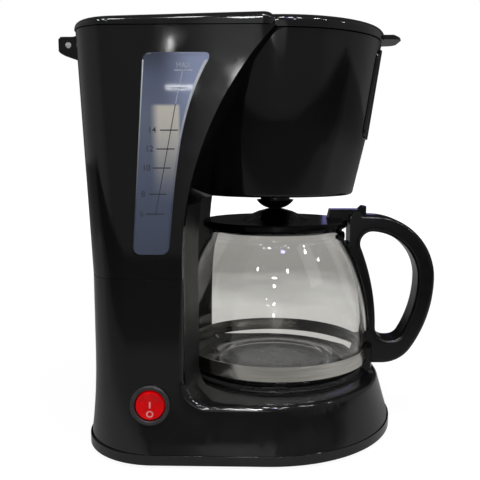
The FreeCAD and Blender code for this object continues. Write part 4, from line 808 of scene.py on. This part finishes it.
def dress():
    """Give every node its finish, then add the turned jug, the gauge and the printed signs."""
    gloss = moulded_polypropylene()
    satin = moulded_abs_satin()
    zinc = zinc_plate()
    aluminium = bare_aluminium()
    milky = natural_polypropylene()
    silicone = silicone_rubber()
    rubber = soft_rubber()
    finishes = {
        "base_plate": gloss, "lower_housing": gloss, "upper_housing": gloss, "main_lid": gloss,
        "carafe_lid": moulded_lid_satin(), "carafe_handle": satin, "carafe_neck_clip": satin,
        "carafe_lid_pin": satin, "filter_basket": satin, "drip_valve": gloss, "shower_spout": satin,
        "switch_body": moulded_nylon(), "switch_rocker": red_lamp_plastic(),
        "terminal_block": satin, "thermostat": satin,
        "water_tank": milky, "riser_tube": milky, "check_valve": milky,
        "mesh_filter": nylon_mesh(), "drip_seal": silicone, "riser_grommet": silicone, "check_ball": silicone,
        "riser_hose": silicone, "inlet_hose": silicone, "hotplate_gasket": black_silicone(),
        "hotplate": non_stick_coat(), "cord_gland": rubber, "rubber_feet": rubber,
        "carafe_band": rolled_steel(), "switch_terminals": tinned_brass(),
        "boiler_tube": aluminium, "heating_element": aluminium, "thermal_fuse": aluminium,
    }
    for node in nodes:
        if node not in ("carafe_glass", "water_gauge"):
            polished(node, finishes.get(node, zinc))
    jug_glass(blown_glass())
    gauge_plate(tinted_gauge())
    gauge_marks()
    switch_signs()


# Studio


# The camera's place, with its turn and downward tilt in degrees
CAMERA_PLACE = Vector((BREW_X - 11.73 * MM, -444.2 * MM, 177.7 * MM))
CAMERA_YAW = 1.508
CAMERA_PITCH = 7.138


def camera():
    """The photograph's viewpoint, fitted to its edges."""
    data = bpy.data.cameras.new("photo_camera")
    data.lens = 50.0
    data.sensor_width = 36.0
    data.sensor_fit = "HORIZONTAL"
    data.clip_start = 0.01
    obj = bpy.data.objects.new("photo_camera", data)
    obj.location = CAMERA_PLACE
    obj.rotation_euler = (math.radians(90 - CAMERA_PITCH), 0, math.radians(CAMERA_YAW))
    bpy.context.scene.collection.objects.link(obj)
    bpy.context.scene.camera = obj


def lamp(name, place, aim, size, power, mirrored=True, colour="#ffffff"):
    """A lamp hidden from the camera: a mirrored one only shows in gloss, a soft one only lights."""
    data = bpy.data.lights.new(name, "AREA")
    data.shape = "RECTANGLE"
    data.size, data.size_y = size
    data.energy = power
    data.color = linear(colour)[:3]
    obj = bpy.data.objects.new(name, data)
    obj.location = place
    obj.rotation_euler = (Vector(aim) - Vector(place)).to_track_quat("-Z", "Y").to_euler()
    obj.visible_camera = False
    obj.visible_glossy = mirrored
    obj.visible_diffuse = not mirrored
    bpy.context.scene.collection.objects.link(obj)


# The room's light by direction, its least light through the glass, and the soft window in front
ROOM_RIGHT = 0.28
ROOM_LEFT = 0.37
ROOM_FRONT = 0.22
ROOM_BACK = 0.02
ROOM_ABOVE = 0.12
ROOM_GLASS = 0.3
WINDOW_LEVEL = 0.75
WINDOW_SIDE = (-0.13, -0.05, 0.10, 0.20)
WINDOW_RISE = (-0.17, -0.10, 0.20, 0.36)


def world():
    """White to the eye, grey through glass; a dim room with a soft window in reflections."""
    backdrop = bpy.data.worlds.new("studio")
    bpy.context.scene.world = backdrop
    backdrop.use_nodes = True
    tree = backdrop.node_tree
    tree.nodes.clear()
    place = add(tree, "ShaderNodeTexCoord")
    axes = add(tree, "ShaderNodeSeparateXYZ", links={"Vector": (place, "Generated")})
    parts = []
    # Axis, two values of the direction along it, and the light at each
    sides = (("X", 0.35, 0.9, 0.0, ROOM_RIGHT), ("X", -0.35, -0.9, 0.0, ROOM_LEFT),
             ("Y", -0.3, 0.3, ROOM_FRONT, ROOM_BACK), ("Z", 0.3, 0.9, 0.0, ROOM_ABOVE))
    for axis, start, end, first, last in sides:
        limits = {"From Min": start, "From Max": end, "To Min": first, "To Max": last}
        parts.append(add(tree, "ShaderNodeMapRange", limits, {"Value": (axes, axis)},
                         interpolation_type="SMOOTHSTEP"))
    ahead = add(tree, "ShaderNodeMapRange", {"From Min": 0.0, "From Max": -0.5, "To Max": WINDOW_LEVEL},
                {"Value": (axes, "Y")})
    pane = soft_field(tree, axes, WINDOW_SIDE, WINDOW_RISE)
    window = product(tree, [pane, ahead])
    ray = add(tree, "ShaderNodeLightPath")
    glass = add(tree, "ShaderNodeMath", {1: ROOM_GLASS}, {0: (ray, "Is Transmission Ray")},
                operation="MULTIPLY")
    level = add(tree, "ShaderNodeMath", None, {0: (glass, 0), 1: (ray, "Is Camera Ray")}, operation="MAXIMUM")
    for part in parts + [window]:
        level = add(tree, "ShaderNodeMath", None, {0: (level, 0), 1: (part, 0)}, operation="MAXIMUM")
    sky = add(tree, "ShaderNodeBackground", {"Color": (1.0, 1.0, 1.0, 1.0)}, {"Strength": (level, "Value")})
    add(tree, "ShaderNodeOutputWorld", links={"Surface": (sky, "Background")})


# The floor's own greys along Y, and the greys that stand for the room behind, seen through the jug
SHEET_SPAN = (-0.42, -0.10)
SHEET_GREYS = ((0.0, "#5c5c5c"), (0.24, "#5c5c5c"), (0.36, "#8c8c8b"), (0.70, "#a0a09f"), (0.95, "#c8c8c7"))
ROOM_DEPTH = 1.5
ROOM_BEHIND = ((0.0, "#dcdad8"), (0.11, "#dcdad8"), (0.24, "#e4e3e1"), (0.4, "#a3a29f"), (0.6, "#a7a5a2"),
               (1.0, "#b8b7b5"))
BLOTCH_MM = 260
BLOTCH_SHIFT = 0.18
# Half the floor's size and its middle along Y
FLOOR_HALF = 4.0
FLOOR_BACK = 3.1
# Its glow to the eye, mixed in by this share near the machine and fully beyond the fade
FLOOR_GLOW = 1.18
FLOOR_GLOW_NEAR = 0.80
FLOOR_FADE = (0.4, 1.2)


def floor():
    """A pale sheet, greyer in front of the machine: white to the eye, the room's greys through the jug."""
    material, tree, shader, place = start_material("painted_studio_floor", Roughness=0.9, IOR=1.3)
    axes = add(tree, "ShaderNodeSeparateXYZ", links={"Vector": (place, "Object")})
    limits = {"From Min": SHEET_SPAN[0], "From Max": SHEET_SPAN[1]}
    edge = add(tree, "ShaderNodeMapRange", limits, {"Value": (axes, "Y")})
    colour_by(tree, shader, edge, SHEET_GREYS)
    blotches = add(tree, "ShaderNodeMapRange", {"To Min": -BLOTCH_SHIFT, "To Max": BLOTCH_SHIFT},
                   {"Value": (grain(tree, place, BLOTCH_MM, 3), 0)})
    back = add(tree, "ShaderNodeMapRange", {"From Min": 0.0, "From Max": ROOM_DEPTH}, {"Value": (axes, "Y")})
    patchy = add(tree, "ShaderNodeMath", None, {0: (back, 0), 1: (blotches, 0)}, operation="ADD")
    greys = add(tree, "ShaderNodeValToRGB", links={"Fac": (patchy, "Value")})
    recolour(greys, ROOM_BEHIND)
    ray = add(tree, "ShaderNodeLightPath")
    white = (1.0, 1.0, 1.0, 1.0)
    colour = add(tree, "ShaderNodeMix", {6: white}, {0: (ray, "Is Transmission Ray"), 7: (greys, "Color")},
                 data_type="RGBA")
    seen = add(tree, "ShaderNodeMath", None, {0: (ray, "Is Camera Ray"), 1: (ray, "Is Transmission Ray")},
               operation="MAXIMUM")
    limits = {"From Min": FLOOR_FADE[0], "From Max": FLOOR_FADE[1], "To Min": FLOOR_GLOW_NEAR, "To Max": 1.0}
    distant = add(tree, "ShaderNodeMapRange", limits, {"Value": (axes, "Y")})
    share = product(tree, [seen, distant])
    glow = add(tree, "ShaderNodeEmission", {"Strength": FLOOR_GLOW}, {"Color": (colour, 2)})
    mixed = add(tree, "ShaderNodeMixShader", None,
                {0: (share, "Value"), 1: (shader, "BSDF"), 2: (glow, "Emission")})
    out = next(n for n in tree.nodes if n.type == "OUTPUT_MATERIAL")
    tree.links.new(mixed.outputs["Shader"], out.inputs["Surface"])
    bm = bmesh.new()
    bmesh.ops.create_grid(bm, x_segments=2, y_segments=2, size=FLOOR_HALF,
                          matrix=Matrix.Translation((0, FLOOR_BACK, 0)))
    mesh = bpy.data.meshes.new("studio_floor")
    bm.to_mesh(mesh)
    bm.free()
    new_object("studio_floor", mesh, material)


# Places of the small lamps in metres: under the ceiling, and those that the jug mirrors, X from the brew axis
CEILING_SPOTS = ((-0.85, -0.6, 1.2), (-0.55, -0.55, 1.2), (-0.36, -0.7, 1.25), (-0.18, -0.8, 1.3),
                 (0.08, -0.6, 1.25), (0.24, -0.7, 1.3), (0.42, -0.75, 1.3), (0.65, -0.5, 1.2),
                 (0.95, -0.6, 1.2))
JUG_SPARKS = ((-0.38, -0.72, 0.72), (0.85, -0.26, 0.70), (0.25, -0.77, 0.70))


def studio():
    """Camera, room and floor, then the lamps: soft ones that light, small ones that the gloss mirrors."""
    camera()
    world()
    floor()
    lamp("key_top", (0.05, -0.25, 0.95), (0, 0, 0.15), (0.7, 0.5), 6.0, mirrored=False)
    lamp("right_box", (0.75, -0.45, 0.75), (0.03, 0, 0.2), (0.35, 0.6), 1.2, mirrored=False)
    lamp("left_box", (-0.9, -0.1, 0.35), (-0.05, 0, 0.13), (0.3, 0.7), 0.3, mirrored=False)
    for height, power in ((0.19, 0.10), (0.30, 0.12), (0.50, 0.40)):
        lamp("front_spot", (BREW_X - 0.03, -0.80, height), (BREW_X, 0, 0.12), (0.03, 0.03), power)
    lamp("lid_strip", (BREW_X - 0.04, -1.3, 0.95), (BREW_X, 0, 0.25), (0.12, 0.03), 3.0)
    lamp("lever_strip", (BREW_X + 0.22, -0.85, 1.2), (BREW_X + 0.047, 0, 0.14), (0.12, 0.05), 0.6,
         colour="#a8a4ff")
    lamp("panel_glint", (BREW_X - 0.154, -0.80, 0.356), (BREW_X - 0.06, -0.076, 0.238), (0.006, 0.02), 0.012)
    lamp("gauge_streak", (BREW_X - 0.137, -0.80, 0.288), (BREW_X - 0.054, -0.076, 0.215), (0.045, 0.008),
         0.012)
    lamp("lever_glint", (BREW_X + 0.135, 0.6, 0.19), (BREW_X + 0.05, 0, 0.145), (0.09, 0.03), 0.006,
         colour="#b0acff")
    for x, y, z in JUG_SPARKS:
        lamp("jug_spark", (BREW_X + x, y, z), (BREW_X, 0, 0.12), (0.035, 0.05), 0.3)
    for x, y, z in CEILING_SPOTS:
        lamp("ceiling_spot", (x, y, z), (0.02, 0, 0.1), (0.07, 0.07), 1.3)
    bpy.context.scene.view_settings.view_transform = "Standard"


dress()
studio()
